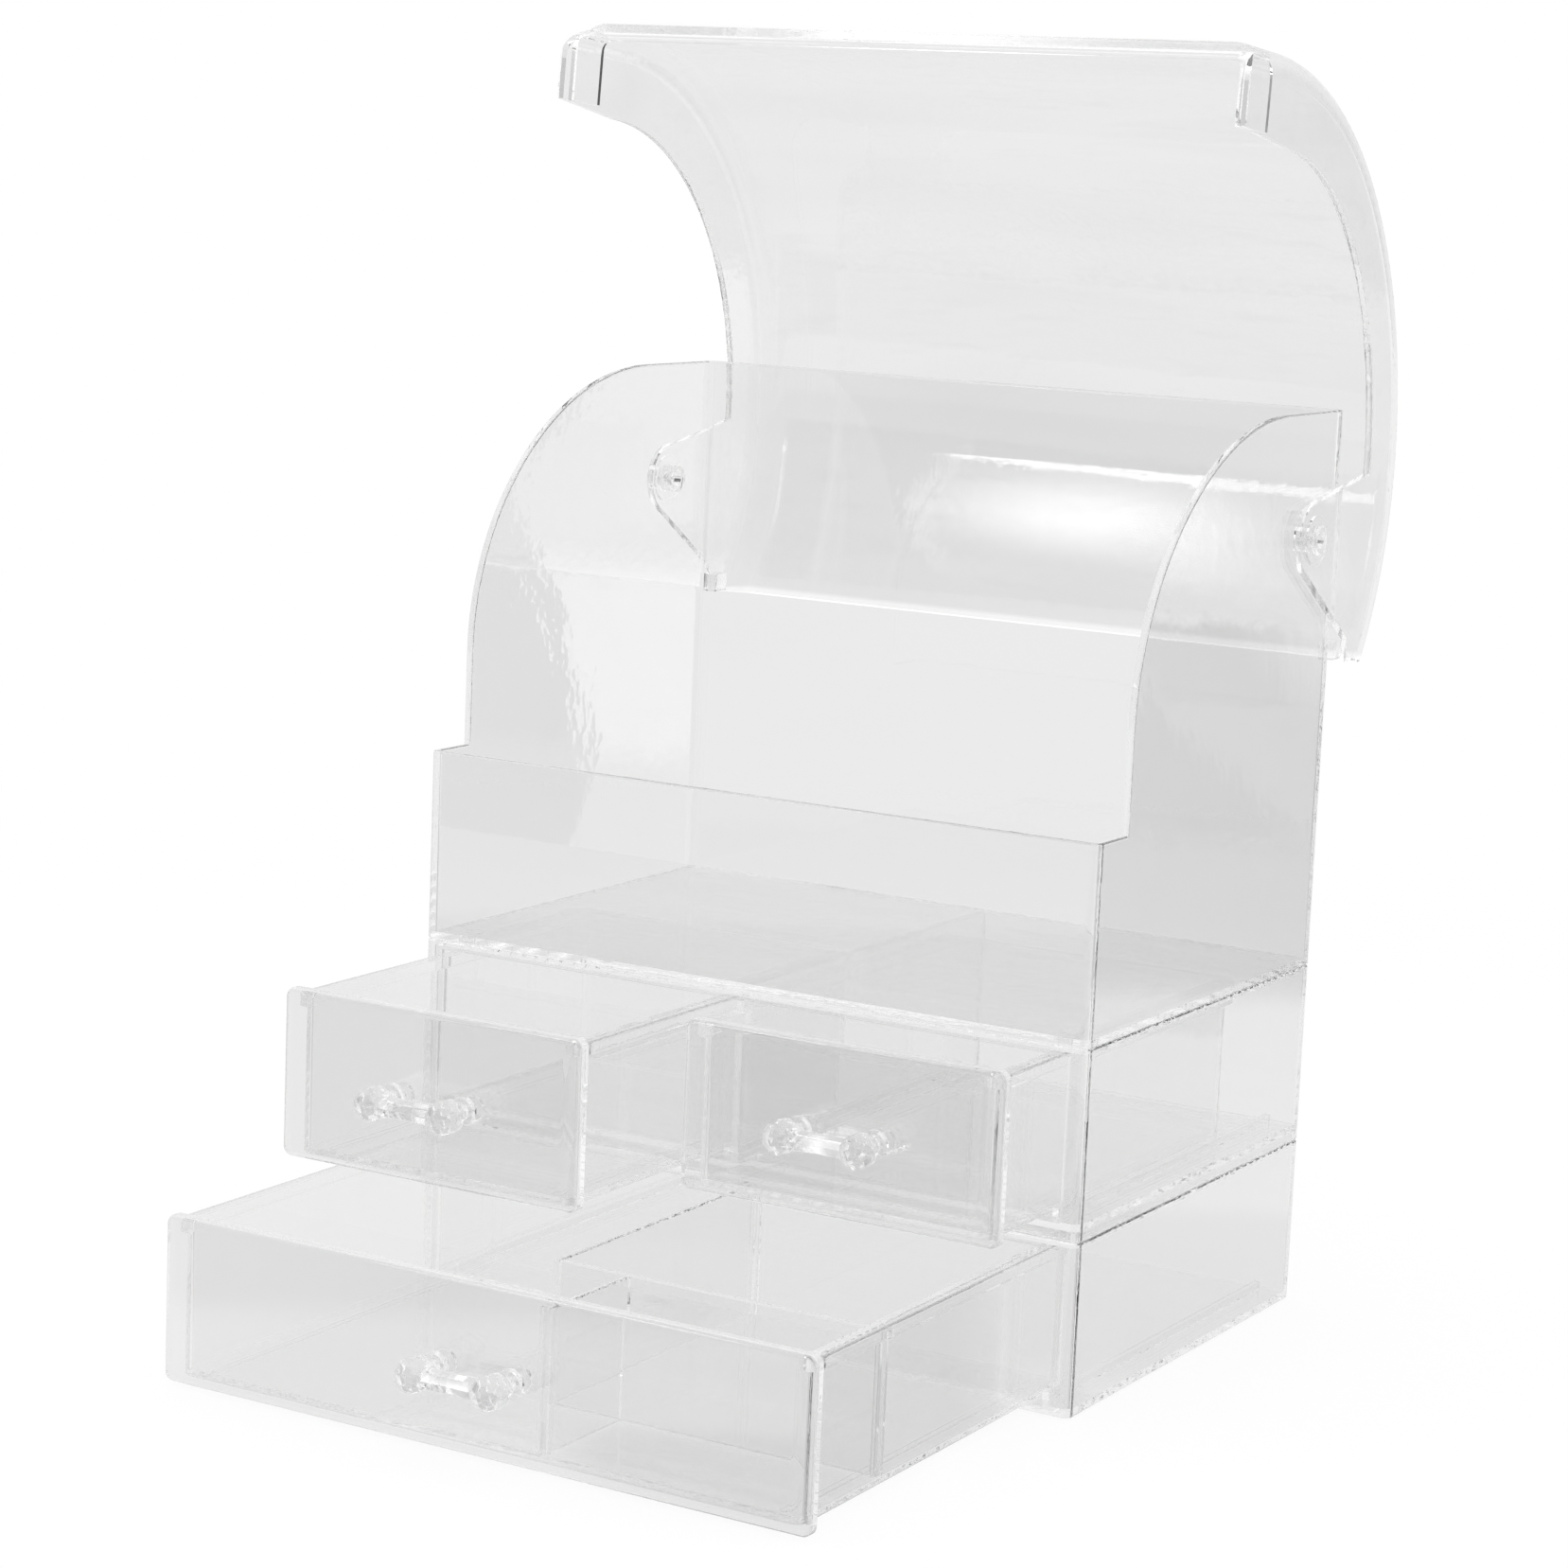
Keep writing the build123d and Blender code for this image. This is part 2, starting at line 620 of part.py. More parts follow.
# A faceted pull: disc, neck and cut head on each post, a bar between, a peg behind each
def make_pull(name, x, panel_front, floor):
    z = pull_height(floor)
    face = -panel_front
    ends = ((x - pull_pitch / 2, z), (x + pull_pitch / 2, z))
    head_0 = pull_base_t + pull_neck_len - 0.6
    head_1 = head_0 + pull_head_len
    facets = ((head_0, 0.64), (head_0 + 2.8, 1.0), (head_1 - 3.4, 1.0), (head_1, 0.66))
    with BuildPart() as pull:
        with BuildSketch(Plane.XZ.offset(face + seat_gap)):
            with Locations(*ends):
                Circle(pull_base_r)
        extrude(amount=pull_base_t - seat_gap)
        chamfer(pull.faces().sort_by(Axis.Y)[0].edges(), 0.6)
        with BuildSketch(Plane.XZ.offset(face + pull_base_t - 0.2)):
            with Locations(*ends):
                Circle(pull_neck_r)
        extrude(amount=pull_neck_len)
        for (depth_0, scale_0), (depth_1, scale_1) in zip(facets, facets[1:]):
            for end in ends:
                with BuildSketch(Plane.XZ.offset(face + depth_0)):
                    with Locations(end):
                        RegularPolygon(pull_head_r * scale_0, pull_sides)
                with BuildSketch(Plane.XZ.offset(face + depth_1)):
                    with Locations(end):
                        RegularPolygon(pull_head_r * scale_1, pull_sides)
                loft()
        with BuildSketch(Plane.YZ.offset(x - pull_pitch / 2)):
            with Locations((panel_front - (head_0 + head_1) / 2, z)):
                RegularPolygon(pull_bar_r, pull_sides)
        extrude(amount=pull_pitch)
        with BuildSketch(Plane.XZ.offset(face + seat_gap)):
            with Locations(*ends):
                Circle(pull_peg_r)
        extrude(amount=-panel_t - tray_t - cap_grip - 3 * seat_gap)
    pull.part.label = name
    export_step(pull.part, "parts/" + name + ".step")
    print(name, pull.part.bounding_box(), "solids", len(pull.part.solids()))


# Push-on caps that hold the pegs inside the tray
def make_caps(name, x, panel_front, floor):
    z = pull_height(floor)
    seat = -(panel_front + panel_t + tray_t + 2 * seat_gap)
    ends = ((x - pull_pitch / 2, z), (x + pull_pitch / 2, z))
    with BuildPart() as caps:
        with BuildSketch(Plane.XZ.offset(seat)):
            with Locations(*ends):
                Circle(cap_r)
        extrude(amount=-cap_t)
        fillet(caps.edges().group_by(Axis.Y)[-1], 0.5)
        with BuildSketch(Plane.XZ.offset(seat)):
            with Locations(*ends):
                Circle(pull_peg_r)
        extrude(amount=-cap_grip, mode=Mode.SUBTRACT)
    caps.part.label = name
    export_step(caps.part, "parts/" + name + ".step")


mid_x = (mid_tray_in + mid_tray_out) / 2
mid_w = mid_tray_out - mid_tray_in
tray_front = low_panel_front + panel_t + seat_gap + tray_t
tray_back = tray_front + tray_len - 2 * tray_t
tray_right = tray_half_w - tray_t
large_guides = (
    (long_x, tray_back - guide_out / 2, False),
    (tray_right - guide_out / 2, cross_y, True),
    (short_x, tray_front + guide_out / 2, False),
)
make_tray("large_tray", 0.0, 2 * tray_half_w, low_panel_front, low_floor, low_rim, large_guides)
make_tray("left_tray", -mid_x, mid_w, left_panel_front, mid_floor, mid_rim, ())
make_tray("right_tray", mid_x, mid_w, right_panel_front, mid_floor, mid_rim, ())
make_panel("large_panel", -low_panel_half, low_panel_half, 0.0, low_panel_front, low_floor)
make_panel("left_panel", -mid_panel_out, -mid_panel_in, -mid_x, left_panel_front, mid_floor)
make_panel("right_panel", mid_panel_in, mid_panel_out, mid_x, right_panel_front, mid_floor)
make_pull("large_pull", 0.0, low_panel_front, low_floor)
make_pull("left_pull", -mid_x, left_panel_front, mid_floor)
make_pull("right_pull", mid_x, right_panel_front, mid_floor)
make_caps("large_caps", 0.0, low_panel_front, low_floor)
make_caps("left_caps", -mid_x, left_panel_front, mid_floor)
make_caps("right_caps", mid_x, right_panel_front, mid_floor)


# Dividers: one from the back, one across to the right wall, a short one to the front
def make_divider(name, x0, x1, y0, y1):
    floor = low_floor + tray_rise + tray_t + seat_gap
    with BuildPart() as divider:
        with BuildSketch(Plane.XY.offset(floor)):
            with Locations(((x0 + x1) / 2, (y0 + y1) / 2)):
                Rectangle(x1 - x0, y1 - y0)
        extrude(amount=divider_top - floor)
        chamfer(divider.faces().sort_by(Axis.Z)[-1].edges(), 0.5)
    divider.part.label = name
    export_step(divider.part, "parts/" + name + ".step")


half_t = divider_t / 2
front_of_cross = cross_y - half_t
right_of_long = long_x + half_t + seat_gap
make_divider("long_divider", long_x - half_t, long_x + half_t, front_of_cross, tray_back - divider_gap)
make_divider("cross_divider", right_of_long, tray_right - divider_gap, front_of_cross, cross_y + half_t)
make_divider(
    "short_divider", short_x - half_t, short_x + half_t, tray_front + divider_gap, front_of_cross - seat_gap
)
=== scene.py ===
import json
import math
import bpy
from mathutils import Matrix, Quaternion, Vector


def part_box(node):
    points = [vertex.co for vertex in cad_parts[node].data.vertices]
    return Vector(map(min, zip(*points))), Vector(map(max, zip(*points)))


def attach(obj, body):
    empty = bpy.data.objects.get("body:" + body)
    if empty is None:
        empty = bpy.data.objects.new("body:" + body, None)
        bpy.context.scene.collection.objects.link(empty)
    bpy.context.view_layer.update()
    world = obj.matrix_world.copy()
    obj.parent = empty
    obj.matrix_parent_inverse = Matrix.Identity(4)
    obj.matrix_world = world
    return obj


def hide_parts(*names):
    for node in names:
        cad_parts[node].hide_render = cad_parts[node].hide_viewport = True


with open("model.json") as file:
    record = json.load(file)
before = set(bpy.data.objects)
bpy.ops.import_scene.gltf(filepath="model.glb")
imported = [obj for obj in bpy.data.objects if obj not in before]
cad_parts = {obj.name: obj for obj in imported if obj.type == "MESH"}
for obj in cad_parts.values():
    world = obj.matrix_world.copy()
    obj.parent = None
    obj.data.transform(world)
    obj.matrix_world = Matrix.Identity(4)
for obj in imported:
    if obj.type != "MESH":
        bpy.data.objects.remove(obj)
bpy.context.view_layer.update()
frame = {"nodes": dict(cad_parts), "record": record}

# %% [markdown]
# # A clear make-up box, dressed for its portrait
# The box is moulded from clear, hard plastic: three casings stacked on one plan, three
# drawers, and a curved lid that swings open on two pins. Its walls, floors and hinges
# already have their true shapes in the frame that was loaded above. What is left to do
# here is the looks: the plastic, the cut pulls, the white studio and the camera.
#
# Everything is in metres and in the frame's own place, so nothing has to be fitted.

MM = 0.001
IMAGE_SIDE = 1657

# %% [markdown]
# ## Flow marks in the moulded plastic
# Clear mouldings are never perfectly flat. The plastic cools as it runs through the mould,
# which leaves long shallow ripples along the flow. A few specks of dust lie under the
# polish, and wiping leaves short faint scuffs. One could paint these on a picture, but a
# picture stretches over corners. A node group that works from the object's own coordinates
# gives every wall the same plastic at the same scale, and each material sets its own
# amounts. First come the helpers that every node tree below uses.

# %% Helpers: a group with named inputs and outputs, and two small nodes
def new_group(name, inputs, outputs):
    tree = bpy.data.node_groups.new(name, "ShaderNodeTree")
    for label, kind, value in inputs:
        socket = tree.interface.new_socket(label, in_out="INPUT", socket_type=kind)
        if value is not None:
            socket.default_value = value
    for label, kind in outputs:
        tree.interface.new_socket(label, in_out="OUTPUT", socket_type=kind)
    return tree, tree.nodes.new("NodeGroupInput"), tree.nodes.new("NodeGroupOutput")


def plug(tree, socket, value):
    if hasattr(value, "node"):
        tree.links.new(value, socket)
    else:
        socket.default_value = value


def add_math(tree, kind, first, second):
    node = tree.nodes.new("ShaderNodeMath")
    node.operation = kind
    plug(tree, node.inputs[0], first)
    plug(tree, node.inputs[1], second)
    return node.outputs[0]


def ramp(tree, value, start, end, low=0.0, high=1.0, soft=True):
    node = tree.nodes.new("ShaderNodeMapRange")
    if soft:
        node.interpolation_type = "SMOOTHSTEP"
    for label, amount in (("From Min", start), ("From Max", end), ("To Min", low), ("To Max", high)):
        node.inputs[label].default_value = amount
    tree.links.new(value, node.inputs["Value"])
    return node.outputs[0]


# %% Helpers: noise, and coordinates stretched along the flow
def noise(tree, coordinates, scale, detail, roughness=0.5):
    node = tree.nodes.new("ShaderNodeTexNoise")
    for label, amount in (("Scale", scale), ("Detail", detail), ("Roughness", roughness)):
        node.inputs[label].default_value = amount
    tree.links.new(coordinates, node.inputs["Vector"])
    return node.outputs["Fac"]


def stretched(tree, coordinates, amounts):
    node = tree.nodes.new("ShaderNodeVectorMath")
    node.operation = "MULTIPLY"
    tree.links.new(coordinates, node.inputs[0])
    plug(tree, node.inputs[1], amounts)
    return node.outputs[0]


# %% The group for the flow marks, with its ripples and fine grain
RIPPLE_DETAIL = 2.5
RIPPLE_ROUGHNESS = 0.42
GRAIN_SCALE = 260.0
MILKY_FROM = 0.52
MILKY_TO = 0.80

flow, given, made = new_group(
    "moulded flow",
    (
        ("Coordinates", "NodeSocketVector", None),
        ("Ripple Length", "NodeSocketFloat", 9.0),
        ("Ripple Width", "NodeSocketFloat", 34.0),
        ("Fine Grain", "NodeSocketFloat", 0.15),
        ("Specks", "NodeSocketFloat", 0.5),
        ("Scuffs", "NodeSocketFloat", 0.3),
        ("Plastic", "NodeSocketColor", (0.95, 0.95, 0.95, 1.0)),
        ("Milk", "NodeSocketColor", (0.90, 0.90, 0.90, 1.0)),
    ),
    (("Color", "NodeSocketColor"), ("Roughness", "NodeSocketFloat"), ("Height", "NodeSocketFloat")),
)
along_flow = flow.nodes.new("ShaderNodeCombineXYZ")
flow.links.new(given.outputs["Ripple Length"], along_flow.inputs["X"])
flow.links.new(given.outputs["Ripple Width"], along_flow.inputs["Y"])
flow.links.new(given.outputs["Ripple Width"], along_flow.inputs["Z"])
in_flow = stretched(flow, given.outputs["Coordinates"], along_flow.outputs[0])
ripple = noise(flow, in_flow, 1.0, RIPPLE_DETAIL, RIPPLE_ROUGHNESS)
streaks = ramp(flow, ripple, MILKY_FROM, MILKY_TO, soft=False)
grain = noise(flow, given.outputs["Coordinates"], GRAIN_SCALE, 1.0)
fine = add_math(flow, "MULTIPLY", grain, given.outputs["Fine Grain"])
flow.links.new(add_math(flow, "ADD", ripple, fine), made.inputs["Height"])

# %% Its specks and scuffs, and how they colour the plastic
DUST_SCALE = 46.0
SPECK_CORE = 0.016
SPECK_RIM = 0.028
SPECK_ROUGHNESS = 0.35
SCUFF_STRETCH = (34.0, 210.0, 210.0)
SCUFF_DETAIL = 4.0
SCUFF_FROM = 0.56
SCUFF_TO = 0.74

dust = flow.nodes.new("ShaderNodeTexVoronoi")
dust.inputs["Scale"].default_value = DUST_SCALE
flow.links.new(given.outputs["Coordinates"], dust.inputs["Vector"])
dots = ramp(flow, dust.outputs["Distance"], SPECK_CORE, SPECK_RIM, 1.0, 0.0, soft=False)
specks = add_math(flow, "MULTIPLY", dots, given.outputs["Specks"])
flow.links.new(add_math(flow, "MULTIPLY", specks, SPECK_ROUGHNESS), made.inputs["Roughness"])
strokes = noise(flow, stretched(flow, given.outputs["Coordinates"], SCUFF_STRETCH), 1.0, SCUFF_DETAIL)
worn = ramp(flow, strokes, SCUFF_FROM, SCUFF_TO, soft=False)
scuffs = add_math(flow, "MULTIPLY", worn, given.outputs["Scuffs"])
marked = add_math(flow, "MAXIMUM", streaks, add_math(flow, "MAXIMUM", specks, scuffs))
blend = flow.nodes.new("ShaderNodeMix")
blend.data_type = "RGBA"
flow.links.new(marked, blend.inputs["Factor"])
flow.links.new(given.outputs["Plastic"], blend.inputs["A"])
flow.links.new(given.outputs["Milk"], blend.inputs["B"])
flow.links.new(blend.outputs["Result"], made.inputs["Color"])
print("flow marks:", len(flow.nodes), "nodes")

# %% [markdown]
# ## The clear plastic
# Light goes through each wall, bends at both faces and loses a little on the way, so the
# more walls lie behind one another the greyer the box looks. That is what a transmitting
# surface with a real refractive index does. A see-through film without bending would be
# quicker, but it would lose the bright and dark lines in every thick edge. Rays from the
# lamps are let straight through, as a real clear box lets them, so the floor under the
# box is pale and not black.

# %% One recipe, several mouldings
SHADOW_TINT = 0.94


def grey(level):
    return (level, level, level, 1.0)


def clear_plastic(name, plastic, milk, ripple_depth, index=1.50, **amounts):
    material = bpy.data.materials.new(name)
    material.use_nodes = True
    tree = material.node_tree
    tree.nodes.clear()
    place = tree.nodes.new("ShaderNodeTexCoord")
    marks = tree.nodes.new("ShaderNodeGroup")
    marks.node_tree = flow
    marks.inputs["Plastic"].default_value = grey(plastic)
    marks.inputs["Milk"].default_value = grey(milk)
    for label, value in amounts.items():
        marks.inputs[label.replace("_", " ").title()].default_value = value
    tree.links.new(place.outputs["Object"], marks.inputs["Coordinates"])
    bump = tree.nodes.new("ShaderNodeBump")
    bump.inputs["Strength"].default_value = 1.0
    bump.inputs["Distance"].default_value = ripple_depth
    tree.links.new(marks.outputs["Height"], bump.inputs["Height"])
    skin = tree.nodes.new("ShaderNodeBsdfPrincipled")
    skin.inputs["Transmission Weight"].default_value = 1.0
    skin.inputs["IOR"].default_value = index
    tree.links.new(marks.outputs["Color"], skin.inputs["Base Color"])
    tree.links.new(marks.outputs["Roughness"], skin.inputs["Roughness"])
    tree.links.new(bump.outputs["Normal"], skin.inputs["Normal"])
    path = tree.nodes.new("ShaderNodeLightPath")
    through = tree.nodes.new("ShaderNodeBsdfTransparent")
    through.inputs["Color"].default_value = grey(SHADOW_TINT)
    either = tree.nodes.new("ShaderNodeMixShader")
    tree.links.new(path.outputs["Is Shadow Ray"], either.inputs["Fac"])
    tree.links.new(skin.outputs[0], either.inputs[1])
    tree.links.new(through.outputs[0], either.inputs[2])
    surface = tree.nodes.new("ShaderNodeOutputMaterial")
    tree.links.new(either.outputs[0], surface.inputs["Surface"])
    return material


# %% The six plastics: name, clear grey, milky grey, depth of the ripples
finishes = {
    "clear_case": clear_plastic("clear casing", 0.955, 0.945, 0.06 * MM),
    "clear_lid": clear_plastic(
        "clear lid", 0.955, 0.915, 0.10 * MM, ripple_length=7.0, ripple_width=30.0, scuffs=1.0
    ),
    "clear_drawer": clear_plastic("clear tray", 0.968, 0.955, 0.06 * MM),
    "clear_panel": clear_plastic("clear drawer front", 0.950, 0.940, 0.04 * MM),
    "clear_pull": clear_plastic("cut pull", 0.97, 0.95, 0.01 * MM, index=1.58),
    "clear_hardware": clear_plastic("clear pins and caps", 0.96, 0.94, 0.02 * MM),
}
slot_of = {part["node"]: part["material_slot"] for part in frame["record"]["subparts"]}
for name, moulding in frame["nodes"].items():
    for place in moulding.material_slots:
        place.material = finishes[slot_of[name]]
print("plastics:", sorted(set(slot_of.values())))

# %% [markdown]
# ## The white line along the lid's lower edge
# Light that runs inside the lid's sheet comes out at its cut edge, so the edge shines as a
# white line. Tracing that light would need thousands of rays for each point, so the last
# two millimetres of the sheet give off a faint light of their own. It is placed by the
# lid's own coordinates, so it stays on the edge when the lid turns.

# %% The lid's cut edge
EDGE_GLOW = 0.085
EDGE_TOP = 213.0 * MM
EDGE_BLUR = 0.4 * MM

lid_tree = finishes["clear_lid"].node_tree
place = lid_tree.nodes.new("ShaderNodeTexCoord")
in_lid = lid_tree.nodes.new("ShaderNodeSeparateXYZ")
lid_tree.links.new(place.outputs["Object"], in_lid.inputs[0])
rim = ramp(lid_tree, in_lid.outputs["Z"], EDGE_TOP - EDGE_BLUR, EDGE_TOP + EDGE_BLUR, EDGE_GLOW, 0.0)
shine = lid_tree.nodes.new("ShaderNodeCombineColor")
for channel in ("Red", "Green", "Blue"):
    lid_tree.links.new(rim, shine.inputs[channel])
lid_skin = next(node for node in lid_tree.nodes if node.type == "BSDF_PRINCIPLED")
lid_skin.inputs["Emission Strength"].default_value = 1.0
lid_tree.links.new(shine.outputs[0], lid_skin.inputs["Emission Color"])
print("the lid's edge glows", EDGE_GLOW)

# %% [markdown]
# ## Parts turned round an axis
# The pulls' posts and pegs, the bars and the hinge pins are all bodies on one axis, round
# or many-sided, whose radius changes from station to station. Each could be modelled by
# hand, but they repeat, so a small tree of geometry nodes sweeps them from a list of
# stations. A straight curve gets one point per station, each point moves to its depth,
# and a ring is swept along it at that station's radius. With few sides, and every second
# ring turned by half a side, the same sweep cuts the facets of a gem.

# %% A swept body from its stations
def by_station(tree, values):
    choice = tree.nodes.new("GeometryNodeIndexSwitch")
    choice.data_type = "FLOAT"
    while len(choice.index_switch_items) < len(values):
        choice.index_switch_items.new()
    tree.links.new(tree.nodes.new("GeometryNodeInputIndex").outputs[0], choice.inputs["Index"])
    for place, value in enumerate(values):
        choice.inputs[place + 1].default_value = value
    return choice.outputs[0]


def swept_body(tree, stations, sides, unit, axis):
    line = tree.nodes.new("GeometryNodeCurvePrimitiveLine")
    line.inputs["End"].default_value = [float(letter == axis) for letter in "XYZ"]
    points = tree.nodes.new("GeometryNodeResampleCurve")
    points.inputs["Count"].default_value = len(stations)
    tree.links.new(line.outputs[0], points.inputs["Curve"])
    place = tree.nodes.new("ShaderNodeCombineXYZ")
    tree.links.new(by_station(tree, [depth * MM for depth, _, _ in stations]), place.inputs[axis])
    moved = tree.nodes.new("GeometryNodeSetPosition")
    tree.links.new(points.outputs[0], moved.inputs["Geometry"])
    tree.links.new(place.outputs[0], moved.inputs["Position"])
    turned = tree.nodes.new("GeometryNodeSetCurveTilt")
    turns = by_station(tree, [math.radians(turn) for _, _, turn in stations])
    tree.links.new(moved.outputs[0], turned.inputs["Curve"])
    tree.links.new(turns, turned.inputs["Tilt"])
    ring = tree.nodes.new("GeometryNodeCurvePrimitiveCircle")
    ring.inputs["Radius"].default_value = 1.0
    plug(tree, ring.inputs["Resolution"], sides)
    body = tree.nodes.new("GeometryNodeCurveToMesh")
    body.inputs["Fill Caps"].default_value = True
    radius = add_math(tree, "MULTIPLY", by_station(tree, [share for _, share, _ in stations]), unit)
    tree.links.new(turned.outputs[0], body.inputs["Curve"])
    tree.links.new(ring.outputs["Curve"], body.inputs["Profile Curve"])
    tree.links.new(radius, body.inputs["Scale"])
    return body.outputs[0]


# %% A tree with named sizes, and a plain mesh made from it
CUT_ANGLE = 14.0


def new_tree(name, inputs):
    tree = bpy.data.node_groups.new(name, "GeometryNodeTree")
    tree.interface.new_socket("Geometry", in_out="INPUT", socket_type="NodeSocketGeometry")
    for label, kind, value in inputs:
        socket = tree.interface.new_socket(label, in_out="INPUT", socket_type=kind)
        if value is not None:
            socket.default_value = value
    tree.interface.new_socket("Geometry", in_out="OUTPUT", socket_type="NodeSocketGeometry")
    return tree, tree.nodes.new("NodeGroupInput"), tree.nodes.new("NodeGroupOutput")


def move(tree, shape, offset):
    node = tree.nodes.new("GeometryNodeTransform")
    tree.links.new(shape, node.inputs["Geometry"])
    tree.links.new(offset, node.inputs["Translation"])
    return node.outputs[0]


def join_as_one(tree, bodies):
    union = tree.nodes.new("GeometryNodeMeshBoolean")
    union.operation = "UNION"
    union.solver = "EXACT"
    union.inputs["Self Intersection"].default_value = True
    for body in bodies:
        tree.links.new(body, union.inputs["Mesh 2"])
    return union.outputs["Mesh"]


def in_plastic(tree, shape, given):
    node = tree.nodes.new("GeometryNodeSetMaterial")
    tree.links.new(shape, node.inputs["Geometry"])
    tree.links.new(given.outputs["Plastic"], node.inputs["Material"])
    return node.outputs[0]


def close_tree(tree, shape, given, made):
    facets = tree.nodes.new("GeometryNodeTriangulate")
    tree.links.new(shape, facets.inputs["Mesh"])
    whole = tree.nodes.new("GeometryNodeRealizeInstances")
    tree.links.new(move(tree, facets.outputs[0], given.outputs["Place"]), whole.inputs[0])
    tree.links.new(in_plastic(tree, whole.outputs[0], given), made.inputs[0])


def made_by(tree, name, **values):
    blank = bpy.data.objects.new(name + " blank", bpy.data.meshes.new(name + " blank"))
    bpy.context.scene.collection.objects.link(blank)
    nodes = blank.modifiers.new("made", "NODES")
    nodes.node_group = tree
    for socket in tree.interface.items_tree:
        key = socket.name.lower().replace(" ", "_")
        if socket.in_out == "INPUT" and key in values:
            nodes[socket.identifier] = values[key]
    depsgraph = bpy.context.evaluated_depsgraph_get()
    mesh = bpy.data.meshes.new_from_object(blank.evaluated_get(depsgraph), depsgraph=depsgraph)
    mesh.name = name
    mesh.set_sharp_from_angle(angle=math.radians(CUT_ANGLE))
    bpy.data.objects.remove(blank)
    piece = bpy.data.objects.new(name, mesh)
    bpy.context.scene.collection.objects.link(piece)
    print(name, len(mesh.polygons), "facets in", len(mesh.materials), "material")
    return piece


# %% [markdown]
# ## The pulls
# Each drawer has a small pull cut like glass: two posts with eight-sided heads, joined by
# an eight-sided bar. A peg goes from each post through the front and the tray, and a cap
# holds it inside. The tree sweeps a post and its peg, sets one at each end of the pitch,
# adds the bar and unites them in one closed body, because light would bend wrongly where
# two clear bodies pass through each other. Depths are in millimetres from the drawer
# front's face, and radii are shares of the unit radius.

# %% The tree for a pull
HALF_SIDE = 22.5
POST_SIDES = 32
BAR_DEPTH = -10.2
POST_STATIONS = (
    (8.20, 0.70, 0), (7.80, 0.80, 0), (6.41, 0.80, 0), (6.40, 0.40, 0), (-0.09, 0.40, 0),
    (-0.10, 0.92, 0), (-0.80, 0.92, 0), (-1.40, 0.80, 0), (-1.41, 0.52, 0), (-4.80, 0.52, 0),
)
HEAD_STATIONS = (
    (-4.20, 0.68, HALF_SIDE), (-6.40, 1.00, 0), (-9.40, 1.06, HALF_SIDE), (-12.60, 1.04, 0),
    (-14.40, 0.86, HALF_SIDE), (-15.60, 0.62, 0), (-16.15, 0.36, HALF_SIDE),
)
BAR_STATIONS = ((0.0, 0.74, 0), (13.0, 0.64, 0), (26.0, 0.74, 0))

pull_tree, given, made = new_tree(
    "cut pull",
    (
        ("Place", "NodeSocketVector", None),
        ("Pitch", "NodeSocketFloat", 26.0 * MM),
        ("Unit Radius", "NodeSocketFloat", 5.0 * MM),
        ("Sides", "NodeSocketInt", 8),
        ("Plastic", "NodeSocketMaterial", None),
    ),
)
unit = given.outputs["Unit Radius"]
post = swept_body(pull_tree, POST_STATIONS, POST_SIDES, unit, "Y")
head = swept_body(pull_tree, HEAD_STATIONS, given.outputs["Sides"], unit, "Y")
both = pull_tree.nodes.new("GeometryNodeJoinGeometry")
pull_tree.links.new(post, both.inputs[0])
pull_tree.links.new(head, both.inputs[0])
print("post:", len(POST_STATIONS), "stations; head:", len(HEAD_STATIONS), "stations")

# %% A post at each end of the pitch, and the bar between them
half_pitch = add_math(pull_tree, "MULTIPLY", given.outputs["Pitch"], -0.5)
first = pull_tree.nodes.new("ShaderNodeCombineXYZ")
pull_tree.links.new(half_pitch, first.inputs["X"])
span = pull_tree.nodes.new("ShaderNodeCombineXYZ")
pull_tree.links.new(given.outputs["Pitch"], span.inputs["X"])
ends = pull_tree.nodes.new("GeometryNodeMeshLine")
ends.inputs["Count"].default_value = 2
pull_tree.links.new(first.outputs[0], ends.inputs["Start Location"])
pull_tree.links.new(span.outputs[0], ends.inputs["Offset"])
posts = pull_tree.nodes.new("GeometryNodeInstanceOnPoints")
pull_tree.links.new(ends.outputs[0], posts.inputs["Points"])
pull_tree.links.new(both.outputs[0], posts.inputs["Instance"])
real_posts = pull_tree.nodes.new("GeometryNodeRealizeInstances")
pull_tree.links.new(posts.outputs[0], real_posts.inputs[0])
bar_start = pull_tree.nodes.new("ShaderNodeCombineXYZ")
pull_tree.links.new(half_pitch, bar_start.inputs["X"])
bar_start.inputs["Y"].default_value = BAR_DEPTH * MM
bar = swept_body(pull_tree, BAR_STATIONS, given.outputs["Sides"], unit, "X")
bar = move(pull_tree, bar, bar_start.outputs[0])
close_tree(pull_tree, join_as_one(pull_tree, (real_posts.outputs[0], bar)), given, made)
print("pull tree:", len(pull_tree.nodes), "nodes")

# %% Three pulls, each with its pegs and caps
for drawer in ("large", "left", "right"):
    low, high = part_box(drawer + "_pull")
    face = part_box(drawer + "_panel")[0][1]
    pull = made_by(
        pull_tree,
        "cut_pull_" + drawer,
        place=((low[0] + high[0]) / 2, face, (low[2] + high[2]) / 2),
        plastic=finishes["clear_pull"],
    )
    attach(pull, "drawer_" + drawer)
    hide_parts(drawer + "_pull", drawer + "_caps")

# %% [markdown]
# ## The hinge pins
# A stub pin goes through each lid ear and side wall, with a dished head outside and a cap
# pressed on inside. They are swept the same way as the posts, each as one closed body, a
# hair thinner than its hole, so that a film of air shows round the shaft. The stations
# run outwards from the wall's inner face. The two pins are mirror images, so the tree
# makes the right one and turns a copy of it half round for the left.

# %% The tree for a pin
FILM = 0.1 * MM
CAP_IN = -1.80
HEAD_THICK = 1.6


